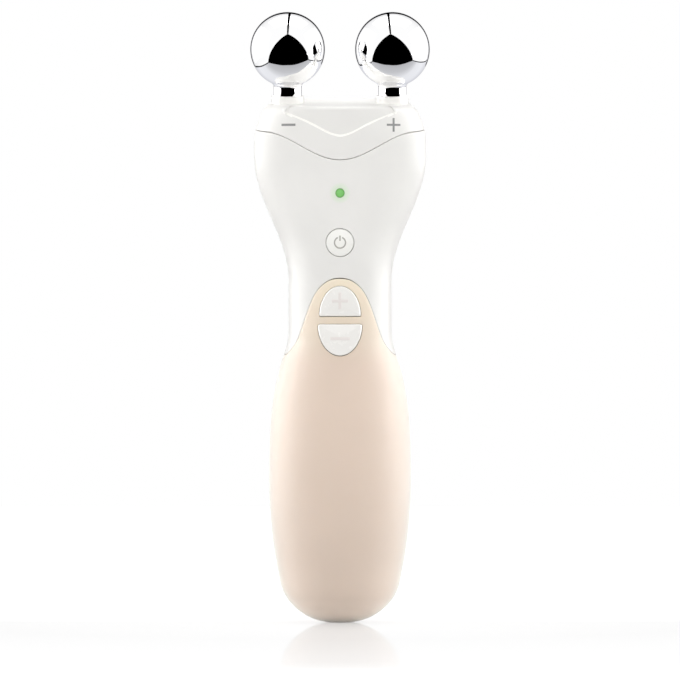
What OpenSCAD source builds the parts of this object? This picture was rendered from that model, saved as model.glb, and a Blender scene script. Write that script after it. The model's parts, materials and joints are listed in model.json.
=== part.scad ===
// Handheld facial toning device: a waisted handle with a soft grip, three keys and a status
// light, and a pull-off head that carries two chromed ball electrodes on short stems.
// It stands on a small flat foot at z = 0. The keys face -Y and the head is at +Z.
// Every shell is cut from one outline that is defined by level, side angle and inset.

/* [Outline] */
// Height from the foot to the top plane of the head, on the centre line
body_h = 149.2; // [125:0.1:180]
// Half width of the grip at its fullest
grip_half_w = 20.4; // [17:0.1:24.6]
// Half width of the waist between grip and head
waist_half_w = 14.8; // [14:0.1:17.8]
// Half width of the head at its fullest
head_half_w = 24.7; // [23.2:0.1:29.7]
// Half depth of the grip at its fullest
grip_half_d = 18; // [16.4:0.1:21.6]
// Half depth of the neck where the keys are
neck_half_d = 13.25; // [12.8:0.05:15.9]
// Half depth of the head
head_half_d = 12; // [11.6:0.1:14.4]
// Squareness of the cross-sections: 2 is an ellipse, more is boxier
section_n = 2.35; // [2.1:0.05:2.8]
// Forward lean of the head, in degrees
head_lean = 8.5; // [4:0.5:11]
// Radius of the rounded edge at the top of the head, at the sides
top_round_r = 3; // [2:0.1:4]
// Radius of the same edge along the front and the back, where it is crisper
face_round_r = 1.9; // [1.6:0.1:3]
// Inward slope of the head's shoulders above the seam
shoulder_slope = 0.4; // [0.2:0.05:0.5]
// Height over which the foot rounds under
foot_round_h = 11; // [8:0.5:14]

/* [Shells] */
// Wall of the hard shells
wall = 1.8; // [1.5:0.05:2.2]
// Thickness of the soft grip, set flush into the shells
grip_t = 1.4; // [1.1:0.05:1.7]
// Shadow gap along the arched top edge of the grip
grip_gap = 0.15; // [0.05:0.05:0.3]
// Gap along the seam between handle and head
seam_gap = 0.3; // [0.2:0.05:0.6]
// How far the seam dips from the sides to the centre
seam_dip = 6.4; // [3:0.1:8]
// How far the grip's arch rises from the sides to the centre
arch_rise = 22; // [18:0.5:23]
// How deep the face inside the V on the head is set back
step_depth = 0.4; // [0.2:0.05:0.6]

/* [Keys] */
// Radius of the round power key
power_key_r = 4; // [3.4:0.1:4.8]
// Half width of the plus key, which is the upper half of an ellipse
plus_half_w = 5.92; // [4.8:0.02:6.4]
// Height of the plus key
plus_h = 8.42; // [7:0.02:9]
// Half width of the minus key, which is the lower half of an ellipse
minus_half_w = 6.38; // [5.2:0.02:6.8]
// Height of the minus key
minus_h = 9; // [7.4:0.1:9.4]
// Gap round every key
key_gap = 0.3; // [0.2:0.05:0.4]
// How far every key goes in
key_travel = 0.6; // [0.4:0.05:0.65]
// How far the plus and minus keys stand proud of the grip
key_proud = 0.4; // [0.2:0.05:0.7]
// Radius of the guide stem behind the plus and minus keys
key_stem_r = 1.8; // [1.4:0.05:2]
// Radial clearance of every sliding stem and plunger
running_gap = 0.08; // [0.03:0.01:0.1]
// Radius of the status light
lens_r = 1.4; // [1:0.1:1.8]

/* [Electrodes] */
// Radius of the ball electrodes
ball_r = 10.75; // [9:0.05:12.9]
// Half the distance between the two balls
ball_x = 15; // [14.4:0.1:15.8]
// Height of the ball centres above the head's top plane, along the lean
ball_rise = 15.4; // [14:0.1:18]
// Wall of the hollow balls
ball_wall = 1.85; // [1.4:0.05:2.4]
// Radius of the stems
stem_r = 4; // [3.4:0.1:4.4]
// Radius of the low collars round the stems
collar_r = 4.7; // [4.2:0.1:4.9]
// Height of the low collars
collar_h = 2; // [1.2:0.1:3]

/* [Inside] */
// Diameter of the battery cell
cell_d = 14; // [12:0.1:14.2]
// Thickness of the circuit boards
board_t = 1; // [0.8:0.1:1.2]
// Radius of the screw shanks
screw_r = 1; // [0.8:0.05:1.2]
// Radius of the plug's round ends
plug_r = 3.9; // [3.4:0.05:4]
// Half length between the plug's two round ends
plug_half_l = 9; // [8:0.1:11]
// Radial clearance between plug and socket
plug_gap = 0.1; // [0.05:0.01:0.2]

/* [Hidden] */
$fn = 64;

k = body_h / 149.2;
wide_s = 41 * k;
deep_s = 44 * k;
waist_s = 80.5 * k;
neck_s = 92 * k;
flare_s = 98 * k;
full_s = 134 * k;
slim_s = 125 * k;
shoulder_s = 140.8 * k;
lean_from = 97 * k;
lean_to = 133 * k;
seam_side = 141.2 * k;
arch_foot = 76.9 * k;
foot_taper_w = 6.3;
foot_taper_d = 4;
lean_m = tan(head_lean);

power_z = 109.05 * k;
sign_r = 1.75;
lens_z = 123.4 * k;
plus_z = 87.98 * k;
minus_z = 85.5 * k;
plus_stem_z = plus_z + 3.6;
minus_stem_z = minus_z - 3.5;

board_y = -(min(neck_half_d, head_half_d + 1.25) - 8.25);
board_low = 62 * k;
board_high = 126 * k;
board_half_w = waist_half_w - 3.8;
switch_h = 1.8;
plunger_r = 1.5;
plunger_h = 0.8;
plunger_y = board_y - switch_h - plunger_h;

cell_y = 4.5;
cell_low = 22 * k;
cell_high = 70 * k;
cell_r = cell_d / 2;
cradle_r = cell_r + 1.3;

deck_low = -3;
deck_t = 1.4;
cup_floor = -10;
cup_y = 3.8;
cup_r = plug_r + plug_gap;
cup_wall = 1.2;
top_h = (body_h - lean_to) / cos(head_lean);
ball_h = top_h + ball_rise;
base_low = 8 * k;
base_t = 1.4;
plug_low = cup_floor + 0.5;
pin_x = 6;
neck_blend = 1.6;
neck_drop = sqrt(pow(ball_r + neck_blend - 0.06, 2) - pow(stem_r + neck_blend, 2));
neck_turn = atan2(neck_drop, stem_r + neck_blend);
spigot_r = 2.25;
shank_r = 2.5;

// ---- the outline ----

function mix(a, b, t) = a + (b - a) * t;
function clamp01(t) = max(0, min(1, t));
function ease(t) = (1 - cos(180 * clamp01(t))) / 2;
function soft_max(a, b, r) = (a + b + sqrt((a - b) * (a - b) + r * r)) / 2;

// Centre line, which leans forward above the neck, and the matching tilt of the levels
function lean_part(s) = clamp01((s - lean_from) / (lean_to - lean_from));
function tilt(s) = lean_m * lean_part(s);
function mid_y(s) = -lean_m * (lean_part(s) * lean_part(s) * (lean_to - lean_from) / 2
    + max(0, s - lean_to));

// Half width: grip, waist, flared head, then the shoulders
function grip_w(s) = s < wide_s
    ? grip_half_w - foot_taper_w * pow((wide_s - s) / wide_s, 2)
    : grip_half_w - (grip_half_w - waist_half_w) * pow((s - wide_s) / (waist_s - wide_s), 2.9);
function raw_w(s) = soft_max(grip_w(s), waist_half_w, 0.6)
    + (head_half_w - waist_half_w) * ease((s - flare_s) / (full_s - flare_s))
    - shoulder_slope * soft_max(s - shoulder_s, 0, 1.5);

// Half depth: full at the grip, slimmer at the neck, slimmest at the head
function raw_d(s) = s < deep_s
    ? grip_half_d - foot_taper_d * pow((deep_s - s) / deep_s, 2)
    : s < neck_s
        ? mix(grip_half_d, neck_half_d, ease((s - deep_s) / (neck_s - deep_s)))
        : mix(neck_half_d, head_half_d, ease((s - lean_from) / (slim_s - lean_from)));

// Rounding under the foot and over the top edge, for a skin that is set in by t
function dome(h) = h + 0.35 >= foot_round_h ? 1
    : pow(1 - pow(1 - max(h + 0.35, 0.01) / foot_round_h, 2.4), 1 / 2.4);
function edge(s, t, round_r) = let (r = max(round_r - t, 0.6), h = s - (body_h - t - r))
    h <= 0 ? 0 : r - sqrt(max(r * r - h * h, 0));
function half_w(s, t) = (raw_w(s) - t - edge(s, t, top_round_r)) * dome(s - t);
function half_d(s, t) = (raw_d(s) - t - edge(s, t, face_round_r)) * dome(s - t);

// A point of the skin: side angle u (0 right, 90 back, 270 front), level s, inset t
function across(u) = sign(cos(u)) * pow(abs(cos(u)), 2 / section_n);
function along(u) = sign(sin(u)) * pow(abs(sin(u)), 2 / section_n);
function skin(u, s, t, push = 0) = let (y = half_d(s, t) * along(u) + push)
    [half_w(s, t) * across(u), mid_y(s) + y, s + tilt(s) * y];

// Seam between handle and head, and the arched top of the grip, by side angle
function seam(u) = seam_side - seam_dip * ease(1 - abs(across(u)) / 0.93);
function arch(u) = arch_foot + arch_rise * k * ease(1 - pow(abs(across(u)), 1.7));

// The face inside the V on the front of the head is set back by a small sloped step
step_run = 0.55;
function step_s(x) = 141.2 * k + sqrt(0.27 * x * x + 1.4) - 1.18
    + 1.1 * pow(max(abs(x) - 14.4, 0), 2);
function step_at(u) = step_s(half_w(144 * k, 0) * across(u));
function set_back(u, s) = sin(u) >= -0.001 ? 0
    : step_depth * clamp01((s - step_at(u)) / step_run);

// Where the skin is at a given x and z, front and back
function fall(x, s, t) = half_d(s, t) * pow(max(0, 1 - pow(abs(x) / half_w(s, t), section_n)),
    1 / section_n);
function front_y(x, z, t) = let (s = z + tilt(z) * raw_d(z)) mid_y(s) - fall(x, s, t);
function rear_y(x, z, t) = let (s = z - tilt(z) * raw_d(z)) mid_y(s) + fall(x, s, t);
function grip_in(x, z) = z < arch_foot
    + arch_rise * k * ease(1 - pow(min(1, abs(x) / half_w(z, 0)), 1.7)) ? grip_t : 0;

// ---- shells ----

// A closed solid between an outer and an inner grid of points
module thick_skin(outer, inner, loop = false, cap_low = false, cap_high = false) {
    n = len(outer) - 1;
    c = len(outer[0]);
    m = loop ? c : c - 1;
    k0 = (n + 1) * c;
    points = concat([for (r = outer) each r], [for (r = inner) each r]);
    function o(i, j) = i * c + j % c;
    function q(i, j) = k0 + i * c + j % c;
    sides = [for (i = [0:n - 1]) for (j = [0:m - 1]) each [
        [o(i, j), o(i + 1, j), o(i + 1, j + 1)],
        [o(i, j), o(i + 1, j + 1), o(i, j + 1)],
        [q(i, j), q(i + 1, j + 1), q(i + 1, j)],
        [q(i, j), q(i, j + 1), q(i + 1, j + 1)]]];
    low = cap_low ? [] : [for (j = [0:m - 1]) each [
        [o(0, j), o(0, j + 1), q(0, j + 1)],
        [o(0, j), q(0, j + 1), q(0, j)]]];
    high = cap_high ? [] : [for (j = [0:m - 1]) each [
        [o(n, j + 1), o(n, j), q(n, j)],
        [o(n, j + 1), q(n, j), q(n, j + 1)]]];
    ends = loop ? [] : [for (i = [0:n - 1]) each [
        [o(i + 1, 0), o(i, 0), q(i, 0)],
        [o(i + 1, 0), q(i, 0), q(i + 1, 0)],
        [o(i, c - 1), o(i + 1, c - 1), q(i, c - 1)],
        [o(i + 1, c - 1), q(i + 1, c - 1), q(i, c - 1)]]];
    floor_fan = !cap_low ? [] : [for (j = [1:c - 2]) each [
        [o(0, 0), o(0, j), o(0, j + 1)],
        [q(0, 0), q(0, j + 1), q(0, j)]]];
    floor_end = !cap_low || loop ? [] : [
        [o(0, 0), o(0, c - 1), q(0, c - 1)],
        [o(0, 0), q(0, c - 1), q(0, 0)]];
    roof_fan = !cap_high ? [] : [for (j = [1:c - 2]) each [
        [o(n, 0), o(n, j + 1), o(n, j)],
        [q(n, 0), q(n, j), q(n, j + 1)]]];
    roof_end = !cap_high || loop ? [] : [
        [o(n, c - 1), o(n, 0), q(n, 0)],
        [o(n, c - 1), q(n, 0), q(n, c - 1)]];
    polyhedron(points, concat(sides, low, high, ends, floor_fan, floor_end, roof_fan,
        roof_end), convexity = 6);
}

low_rows = 14;
high_rows = 11;
cap_rows = 10;
half_cols = 18;
front_angles = [for (j = [0:half_cols]) 180 + 180 * j / half_cols];
rear_angles = [for (j = [0:half_cols]) 180 * j / half_cols];
loop_angles = [for (j = [0:2 * half_cols - 1]) 180 * j / half_cols];

// Level and inset of the housing's row i: set in below the arch, then a step, then flush
function spread(i) = pow(i / low_rows, 1.9);
function housing_row(i, u, t, lift) = i <= low_rows
    ? [mix(grip_t + t, arch(u) + lift, spread(i)), grip_t + t]
    : [mix(arch(u) + lift, seam(u) - seam_gap / 2, (i - low_rows - 1) / high_rows), t];

module housing_shell(angles) {
    rows = [0:low_rows + high_rows + 1];
    outer = [for (i = rows) [for (u = angles)
        let (r = housing_row(i, u, 0, 0)) skin(u, r[0], r[1])]];
    inner = [for (i = rows) [for (u = angles)
        let (r = housing_row(i, u, wall, 1.5)) skin(u, r[0], r[1])]];
    thick_skin(outer, inner, cap_low = true);
}

module grip_skin(angles) {
    under = grip_t - 0.06;
    outer = [for (i = [0:low_rows]) [for (u = angles)
        skin(u, mix(0, arch(u) - grip_gap, spread(i)), 0)]];
    inner = [for (i = [0:low_rows]) [for (u = angles)
        skin(u, mix(under, arch(u) - grip_gap, spread(i)), under)]];
    thick_skin(outer, inner, cap_low = true);
}

// Solid under a patch of the front skin, between two insets
module front_pad(half_x, low, high, out, in) {
    cols = 8;
    xs = [for (j = [0:cols]) mix(half_x, -half_x, j / cols)];
    zs = [for (i = [0:cols]) mix(low, high, i / cols)];
    outer = [for (z = zs) [for (x = xs) [-x, front_y(x, z, out), z]]];
    inner = [for (z = zs) [for (x = xs) [-x, front_y(x, z, in), z]]];
    thick_skin(outer, inner);
}

// ---- small helpers ----

// Lies a shape drawn in x and y on the front plane, from y0 back to y1
module to_front(y0, y1) {
    translate([0, y1, 0])
        rotate([90, 0, 0])
            linear_extrude(y1 - y0)
                children();
}

module rod_y(x, z, r, y0, y1) {
    translate([x, y1, z])
        rotate([90, 0, 0])
            cylinder(h = y1 - y0, r = r);
}

module wire(path, r) {
    for (i = [0:len(path) - 2]) {
        d = path[i + 1] - path[i];
        l = norm(d);
        translate(path[i])
            rotate([0, acos(d[2] / l), atan2(d[1], d[0])])
                cylinder(h = l, r = r);
    }
    for (i = [1:len(path) - 2])
        translate(path[i])
            sphere(r = r);
}

// The head's own frame: z runs along the lean, from the centre line at the seam
module in_head() {
    translate([0, mid_y(lean_to), lean_to])
        rotate([head_lean, 0, 0])
            children();
}

module stadium(half_l, r) {
    translate([-half_l, -r])
        square([2 * half_l, 2 * r]);
    for (x = [-half_l, half_l])
        translate([x, 0])
            circle(r = r);
}

module oval(w, d) {
    polygon([for (j = [0:47]) [w * across(j * 7.5), d * along(j * 7.5)]]);
}

// Half ellipses for the plus key (upper half) and the minus key (lower half)
module half_oval(w, h, grow = 0) {
    intersection() {
        scale([(w + grow) / (abs(h) + grow), 1])
            circle(r = abs(h) + grow);
        translate([-w - 2, h > 0 ? -grow : -2 * abs(h)])
            square([2 * w + 4, 2 * abs(h) + grow]);
    }
}

module plus_sign(size, stroke) {
    square([size, stroke], center = true);
    square([stroke, size], center = true);
}

// ---- fixings of the two housings ----

screw_xy = [[7, 87 * k], [11.4, 30 * k]];
boss_r = 2.8;
head_r = 1.85;

function outer_in(x, z) = grip_in(x, z) + 0.3;
function seat_y(x, z) = rear_y(x + head_r, z, grip_in(x, z)) - 2;
function boss_split(i) = i == 0 ? board_y : 0;

module front_bosses() {
    for (i = [0, 1])
        for (side = [-1, 1]) {
            x = screw_xy[i][0];
            z = screw_xy[i][1];
            y_end = front_y(x + boss_r, z, outer_in(x, z));
            difference() {
                rod_y(side * x, z, boss_r, y_end, boss_split(i));
                rod_y(side * x, z, screw_r + 0.02, y_end + 1.2, boss_split(i) + 1);
            }
        }
}

module rear_boss_rods() {
    for (i = [0, 1])
        for (side = [-1, 1]) {
            x = screw_xy[i][0];
            z = screw_xy[i][1];
            rod_y(side * x, z, boss_r, boss_split(i) + (i == 0 ? board_t : 0),
                rear_y(x + boss_r, z, outer_in(x, z)));
        }
}

module rear_boss_holes() {
    for (i = [0, 1])
        for (side = [-1, 1]) {
            x = screw_xy[i][0];
            z = screw_xy[i][1];
            rod_y(side * x, z, screw_r + 0.15, -20, seat_y(x, z) + 0.1);
            rod_y(side * x, z, head_r + 0.15, seat_y(x, z), 40);
        }
}

post_xz = [[0, 66 * k], [8.2, 103 * k], [8.2, 120 * k]];
post_r = 1.7;

// ---- shells of the handle ----

module front_housing() {
    color("white")
    union() {
        difference() {
            housing_shell(front_angles);
            rod_y(0, power_z, power_key_r + key_gap, -40, front_y(0, power_z, wall + 2));
            rod_y(0, lens_z, lens_r + 0.05, -40, front_y(0, lens_z, wall + 2));
            key_pockets(1.6);
            rod_y(0, plus_stem_z, key_stem_r + running_gap, -40, board_y - 1);
            rod_y(0, minus_stem_z, key_stem_r + running_gap, -40, board_y - 1);
        }
        front_bosses();
        for (p = post_xz)
            for (side = p[0] > 0 ? [-1, 1] : [1])
                rod_y(side * p[0], p[1], post_r, front_y(p[0] + post_r, p[1], outer_in(p[0], p[1])),
                    board_y);
    }
}

// Openings for the plus and minus keys, following the skin down to the given inset
module key_pockets(depth) {
    intersection() {
        union() {
            translate([0, 0, plus_z])
                to_front(-40, 0)
                    half_oval(plus_half_w, plus_h, key_gap);
            translate([0, 0, minus_z])
                to_front(-40, 0)
                    half_oval(minus_half_w, -minus_h, key_gap);
        }
        front_pad(9.6, minus_z - minus_h - 3, plus_z + plus_h + 3, -3, depth);
    }
}

module rear_housing() {
    color("white")
    difference() {
        union() {
            housing_shell(rear_angles);
            rear_boss_rods();
            for (z = [30 * k, 52 * k])
                rod_y(0, z, 2.4, cell_y + cradle_r, rear_y(2.4, z, outer_in(0, z)));
        }
        rear_boss_holes();
        charge_holes();
    }
}

module charge_holes() {
    for (side = [-1, 1])
        rod_y(side * 4, 16 * k, 1.55, cell_y, 40);
}

module front_grip() {
    color("antiquewhite")
    difference() {
        grip_skin(front_angles);
        key_pockets(grip_t + 1);
    }
}

module rear_grip() {
    color("antiquewhite")
    difference() {
        grip_skin(rear_angles);
        charge_holes();
    }
}

// ---- keys ----

module power_key() {
    face_y = front_y(0, power_z, -0.1);
    flange_y = front_y(0, power_z, wall) + key_travel;
    rise = 0.35;
    dome_r = (power_key_r * power_key_r + rise * rise) / (2 * rise);
    color("white")
    translate([0, 0, power_z])
        rotate([90, 0, 0])
            union() {
                difference() {
                    cylinder(h = -face_y, r = power_key_r);
                    translate([0, 0, -1])
                        cylinder(h = 1 - flange_y - 0.2, r = power_key_r + 1);
                    difference() {
                        translate([0, 0, -face_y - 2])
                            cylinder(h = 4, r = power_key_r + 1);
                        translate([0, 0, -face_y - dome_r])
                            sphere(r = dome_r);
                    }
                }
                translate([0, 0, -flange_y - 0.8])
                    cylinder(h = 0.8, r = power_key_r + 1.2);
                translate([0, 0, -plunger_y])
                    cylinder(h = plunger_y - flange_y - 0.4, r = 1.7);
                translate([0, 0, -face_y - 0.8])
                    power_sign(0.8);
            }
}

// Raised power sign: a broken ring and a short bar, its top at height h
module power_sign(h) {
    stroke = 0.35;
    difference() {
        cylinder(h = h, r = sign_r + stroke / 2);
        translate([0, 0, -1])
            cylinder(h = h + 2, r = sign_r - stroke / 2);
        translate([-0.6, 0, -1])
            cube([1.2, 5, h + 2]);
    }
    translate([-stroke / 2, 0.35, 0])
        cube([stroke, sign_r - 0.05, h + 0.02]);
}

// A cap that follows the grip's skin, with a guide stem, a retaining ring and a raised sign
module shaped_key(stem_z, low, high) {
    ring_y = front_y(0, stem_z, grip_t + wall) + key_travel;
    union() {
        intersection() {
            children(0);
            front_pad(8, low - 1, high + 1, -key_proud, 0.85);
        }
        intersection() {
            children(1);
            front_pad(8, low - 1, high + 1, -key_proud - 0.25, 0.3);
        }
        rod_y(0, stem_z, key_stem_r, front_y(0, stem_z, 0.4), plunger_y);
        rod_y(0, stem_z, key_stem_r + 0.9, ring_y, ring_y + 0.8);
    }
}

module plus_key() {
    color("white")
    shaped_key(plus_stem_z, plus_z, plus_z + plus_h) {
        translate([0, 0, plus_z])
            to_front(-40, 0)
                half_oval(plus_half_w, plus_h);
        translate([0, 0, plus_z + 4.3])
            to_front(-40, 0)
                plus_sign(4.7, 0.85);
    }
}

module minus_key() {
    color("white")
    shaped_key(minus_stem_z, minus_z - minus_h, minus_z) {
        translate([0, 0, minus_z])
            to_front(-40, 0)
                half_oval(minus_half_w, -minus_h);
        translate([0, 0, minus_z - 4])
            to_front(-40, 0)
                square([5.2, 0.85], center = true);
    }
}

module plunger(z) {
    color("dimgray")
    rod_y(0, z, plunger_r, plunger_y, plunger_y + plunger_h + 0.9);
}

module power_plunger() {
    plunger(power_z);
}

module plus_plunger() {
    plunger(plus_stem_z);
}

module minus_plunger() {
    plunger(minus_stem_z);
}

// ---- electronics in the handle ----

module block(x, z, w, h, y0, y1) {
    translate([x - w / 2, y0, z - h / 2])
        cube([w, y1 - y0, h]);
}

module key_switches() {
    color("silver")
    for (z = [power_z, plus_stem_z, minus_stem_z])
        difference() {
            block(0, z, 5.2, 5.2, board_y - switch_h, board_y);
            rod_y(0, z, plunger_r + running_gap, board_y - switch_h - 1, board_y - 0.2);
        }
}

module main_board() {
    x = screw_xy[0][0];
    z = screw_xy[0][1];
    color("darkgreen")
    difference() {
        to_front(board_y, board_y + board_t)
            polygon([[-board_half_w + 1.5, board_low], [board_half_w - 1.5, board_low],
                [board_half_w, board_low + 1.5], [board_half_w, board_high - 4],
                [board_half_w - 4, board_high], [4 - board_half_w, board_high],
                [-board_half_w, board_high - 4], [-board_half_w, board_low + 1.5]]);
        for (side = [-1, 1])
            rod_y(side * x, z, screw_r + 0.3, board_y - 1, board_y + board_t + 1);
    }
}

module board_chips() {
    front = board_y;
    back = board_y + board_t;
    color("black") {
        block(0, 98.8 * k, 7, 6, front - 1.1, front);
        block(-5.5, 73.5 * k, 5, 4, front - 1, front);
        block(5.5, 74 * k, 4, 4, front - 1.4, front);
        block(-6.5, 114.5 * k, 3, 2, front - 0.8, front);
        block(6.5, 113 * k, 2, 1.2, front - 0.6, front);
        block(6, 99 * k, 6, 4.5, back, back + 1.4);
        block(-6.5, 100 * k, 3, 3, back, back + 1);
    }
}

module buzzer() {
    color("dimgray")
    difference() {
        rod_y(0, 112 * k, 4.5, board_y + board_t, board_y + board_t + 2.3);
        rod_y(0, 112 * k, 0.7, board_y + board_t + 1.5, board_y + board_t + 3);
    }
}

module status_led() {
    color("palegreen")
    union() {
        block(0, lens_z, 3, 1.6, board_y - 0.7, board_y);
        rod_y(0, lens_z, 0.7, board_y - 1.2, board_y - 0.5);
    }
}

module indicator_lens() {
    face_y = front_y(0, lens_z, 0);
    color("limegreen")
    union() {
        rod_y(0, lens_z, lens_r, face_y, board_y - 1.4);
        rod_y(0, lens_z, lens_r + 0.9, face_y + wall + 0.3, face_y + wall + 1.1);
    }
}

module battery_cell() {
    color("royalblue")
    translate([0, cell_y, cell_low])
        rotate_extrude()
            polygon([[0, 0], [cell_r - 0.5, 0], [cell_r, 0.5], [cell_r, cell_high - cell_low - 2.4],
                [cell_r - 0.6, cell_high - cell_low - 1.2], [2.8, cell_high - cell_low - 1.2],
                [2.8, cell_high - cell_low], [0, cell_high - cell_low]]);
}

module battery_tabs() {
    color("silver") {
        translate([0, cell_y, cell_high])
            cylinder(h = 0.3, r = 2.6);
        block(1.8, cell_high + 0.15, 3, 0.3, -1, cell_y);
        translate([0, cell_y, cell_low - 0.3])
            cylinder(h = 0.3, r = 4);
        block(-1.8, cell_low - 0.15, 3, 0.3, -2, cell_y);
    }
}

module battery_cradle() {
    low = cell_low + 3;
    high = 58 * k;
    color("ivory")
    translate([0, cell_y, low])
        difference() {
            cylinder(h = high - low, r = cradle_r);
            translate([0, 0, -1])
                cylinder(h = high - low + 2, r = cell_r + 0.05);
            translate([-20, -40, -1])
                cube([40, 40, high - low + 2]);
            translate([-20, 0, (high - low) / 2 - 4])
                cube([40, 2.5, 8]);
        }
}

module battery_leads() {
    r = 0.5;
    back = board_y + board_t;
    front_x = -3;
    run_y = back + r + 0.15;
    color("firebrick") {
        wire([[2.4, 0, cell_high + 0.3 + r], [2.4, back, cell_high + 0.3 + r]], r);
        wire([[front_x, 0.5, cell_low - 0.3 - r], [front_x, run_y, cell_low - 0.3 - r],
            [front_x, run_y, board_low + 3], [front_x, back, board_low + 3]], r);
    }
}

module charge_pins() {
    z = 16 * k;
    color("gold")
    for (side = [-1, 1])
        rod_y(side * 4, z, 1.5, 11.2, rear_y(4, z, -0.05));
}

module charge_board() {
    color("darkgreen")
    translate([-6, 11.2 - board_t, 12 * k])
        cube([12, board_t, 7.5 * k]);
}

module housing_screws() {
    color("silver")
    for (i = [0, 1])
        for (side = [-1, 1]) {
            x = screw_xy[i][0];
            z = screw_xy[i][1];
            y_end = front_y(x + boss_r, z, outer_in(x, z)) + 1.5;
            y_seat = seat_y(x, z);
            difference() {
                union() {
                    rod_y(side * x, z, screw_r, y_end, y_seat + 0.1);
                    rod_y(side * x, z, head_r, y_seat, y_seat + 1.3);
                }
                translate([side * x, y_seat + 1.3, z])
                    cube([2.6, 1.2, 0.5], center = true);
                translate([side * x, y_seat + 1.3, z])
                    cube([0.5, 1.2, 2.6], center = true);
            }
        }
}

// ---- socket that takes the head ----

module socket_deck() {
    color("gainsboro")
    in_head()
        difference() {
            union() {
                translate([0, 0, deck_low])
                    linear_extrude(deck_t)
                        oval(half_w(lean_to - 3, wall) - 0.35, half_d(lean_to - 3, wall) - 0.35);
                translate([0, cup_y, cup_floor - cup_wall])
                    linear_extrude(deck_low - cup_floor + cup_wall + deck_t)
                        stadium(plug_half_l, cup_r + cup_wall);
            }
            translate([0, cup_y, cup_floor])
                linear_extrude(40)
                    stadium(plug_half_l, cup_r);
            for (x = [-pin_x, pin_x])
                translate([x, cup_y, cup_floor - 5])
                    cylinder(h = 10, r = 0.85);
        }
}

module socket_gasket() {
    color("dimgray")
    in_head()
        translate([0, cup_y, deck_low + deck_t])
            linear_extrude(0.7)
                difference() {
                    stadium(plug_half_l, cup_r + 1.1);
                    stadium(plug_half_l, cup_r + 0.2);
                }
}

module spring_pins() {
    color("gold")
    in_head()
        for (x = [-pin_x, pin_x])
            translate([x, cup_y, 0]) {
                translate([0, 0, cup_floor - 3.4])
                    cylinder(h = 3.55, r = 0.8);
                translate([0, 0, cup_floor])
                    cylinder(h = plug_low - cup_floor - 0.03, r = 0.45);
            }
}

module contact_board() {
    color("darkgreen")
    in_head()
        translate([0, cup_y, cup_floor - cup_wall - 1.1])
            linear_extrude(0.8)
                difference() {
                    square([18, 6], center = true);
                    for (x = [-pin_x, pin_x])
                        translate([x, 0])
                            circle(r = 0.82);
                }
}

module contact_leads() {
    r = 0.4;
    z = lean_to - 15 * k;
    color("firebrick")
    for (x = [-pin_x, pin_x])
        wire([[x, board_y + board_t, z], [x, 2.8, z], [x, 2.8, z + 1.2]], r);
}

// ---- head ----

// Level of the head's row i: up to the V, across its step, then up to the top
low_cap = 3;
function cap_turn(u, top) = min(step_at(u), top - 2.6);
function cap_level(i, u, top) = let (turn = cap_turn(u, top)) i <= low_cap
    ? mix(seam(u) + seam_gap / 2, turn, i / low_cap)
    : mix(turn + step_run, top, 1 - pow(1 - (i - low_cap - 1) / (cap_rows - low_cap - 1), 1.7));

module head_shell() {
    outer = [for (i = [0:cap_rows]) [for (u = loop_angles)
        let (s = cap_level(i, u, body_h)) skin(u, s, 0, set_back(u, s))]];
    inner = [for (i = [0:cap_rows]) [for (u = loop_angles)
        skin(u, cap_level(i, u, body_h - wall), wall)]];
    thick_skin(outer, inner, loop = true, cap_high = true);
}

screw_head_x = 7;
screw_head_y = -5.5;
// Turns the round features on the head so that none starts on an edge of its flat top
seam_turn = 40;

module head_cap() {
    color("white")
    difference() {
        union() {
            head_shell();
            in_head() {
                for (x = [-ball_x, ball_x])
                    translate([x, 0, top_h - 1.4])
                        rotate(seam_turn)
                            cylinder(h = collar_h + 1.4, r = collar_r);
                for (x = [-screw_head_x, screw_head_x])
                    translate([x, screw_head_y, base_low + base_t])
                        cylinder(h = top_h - base_low - base_t - 1, r = 2.3);
            }
        }
        in_head() {
            for (x = [-ball_x, ball_x])
                translate([x, 0, 0])
                    rotate(seam_turn)
                        cylinder(h = 40, r = shank_r + 0.1);
            for (x = [-screw_head_x, screw_head_x])
                translate([x, screw_head_y, 0])
                    cylinder(h = top_h - 2.2, r = 0.92);
            for (x = [-ball_x, ball_x])
                translate([x, 0, top_h + collar_h - 0.6])
                    cylinder(h = 2, r = shank_r + 1.05);
        }
    }
}

module head_base() {
    color("gainsboro")
    in_head()
        difference() {
            union() {
                translate([0, 0, base_low])
                    linear_extrude(base_t)
                        oval(half_w(shoulder_s + 2, wall) - 0.6, half_d(shoulder_s, wall) - 0.8);
                translate([0, cup_y, plug_low])
                    linear_extrude(base_low - plug_low + 0.5)
                        stadium(plug_half_l, plug_r);
                translate([0, cup_y, 1])
                    linear_extrude(base_low - 0.5)
                        stadium(plug_half_l, plug_r + 0.8);
            }
            for (x = [-pin_x, pin_x]) {
                translate([x - 1, cup_y - 1.2, plug_low + 0.4])
                    cube([2, 2.4, 40]);
                translate([x, cup_y, plug_low - 1])
                    cylinder(h = 1.5, r = 1.55);
            }
            for (x = [-screw_head_x, screw_head_x])
                translate([x, screw_head_y, base_low - 1.3])
                    head_screw_room();
            for (x = [-ball_x, ball_x])
                translate([x, 0, base_low - 1])
                    cylinder(h = 4, r = shank_r + 0.6);
        }
}

// Clearance for a head screw that is driven up through the base
module head_screw_room() {
    translate([0, 0, -30])
        cylinder(h = 31.3, r = 1.9);
    cylinder(h = 6, r = 1);
}

module head_screws() {
    color("silver")
    in_head()
        for (x = [-screw_head_x, screw_head_x])
            translate([x, screw_head_y, base_low]) {
                translate([0, 0, -1.3])
                    cylinder(h = 1.3, r = 1.7);
                cylinder(h = 4.5, r = 0.9);
            }
}

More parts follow.
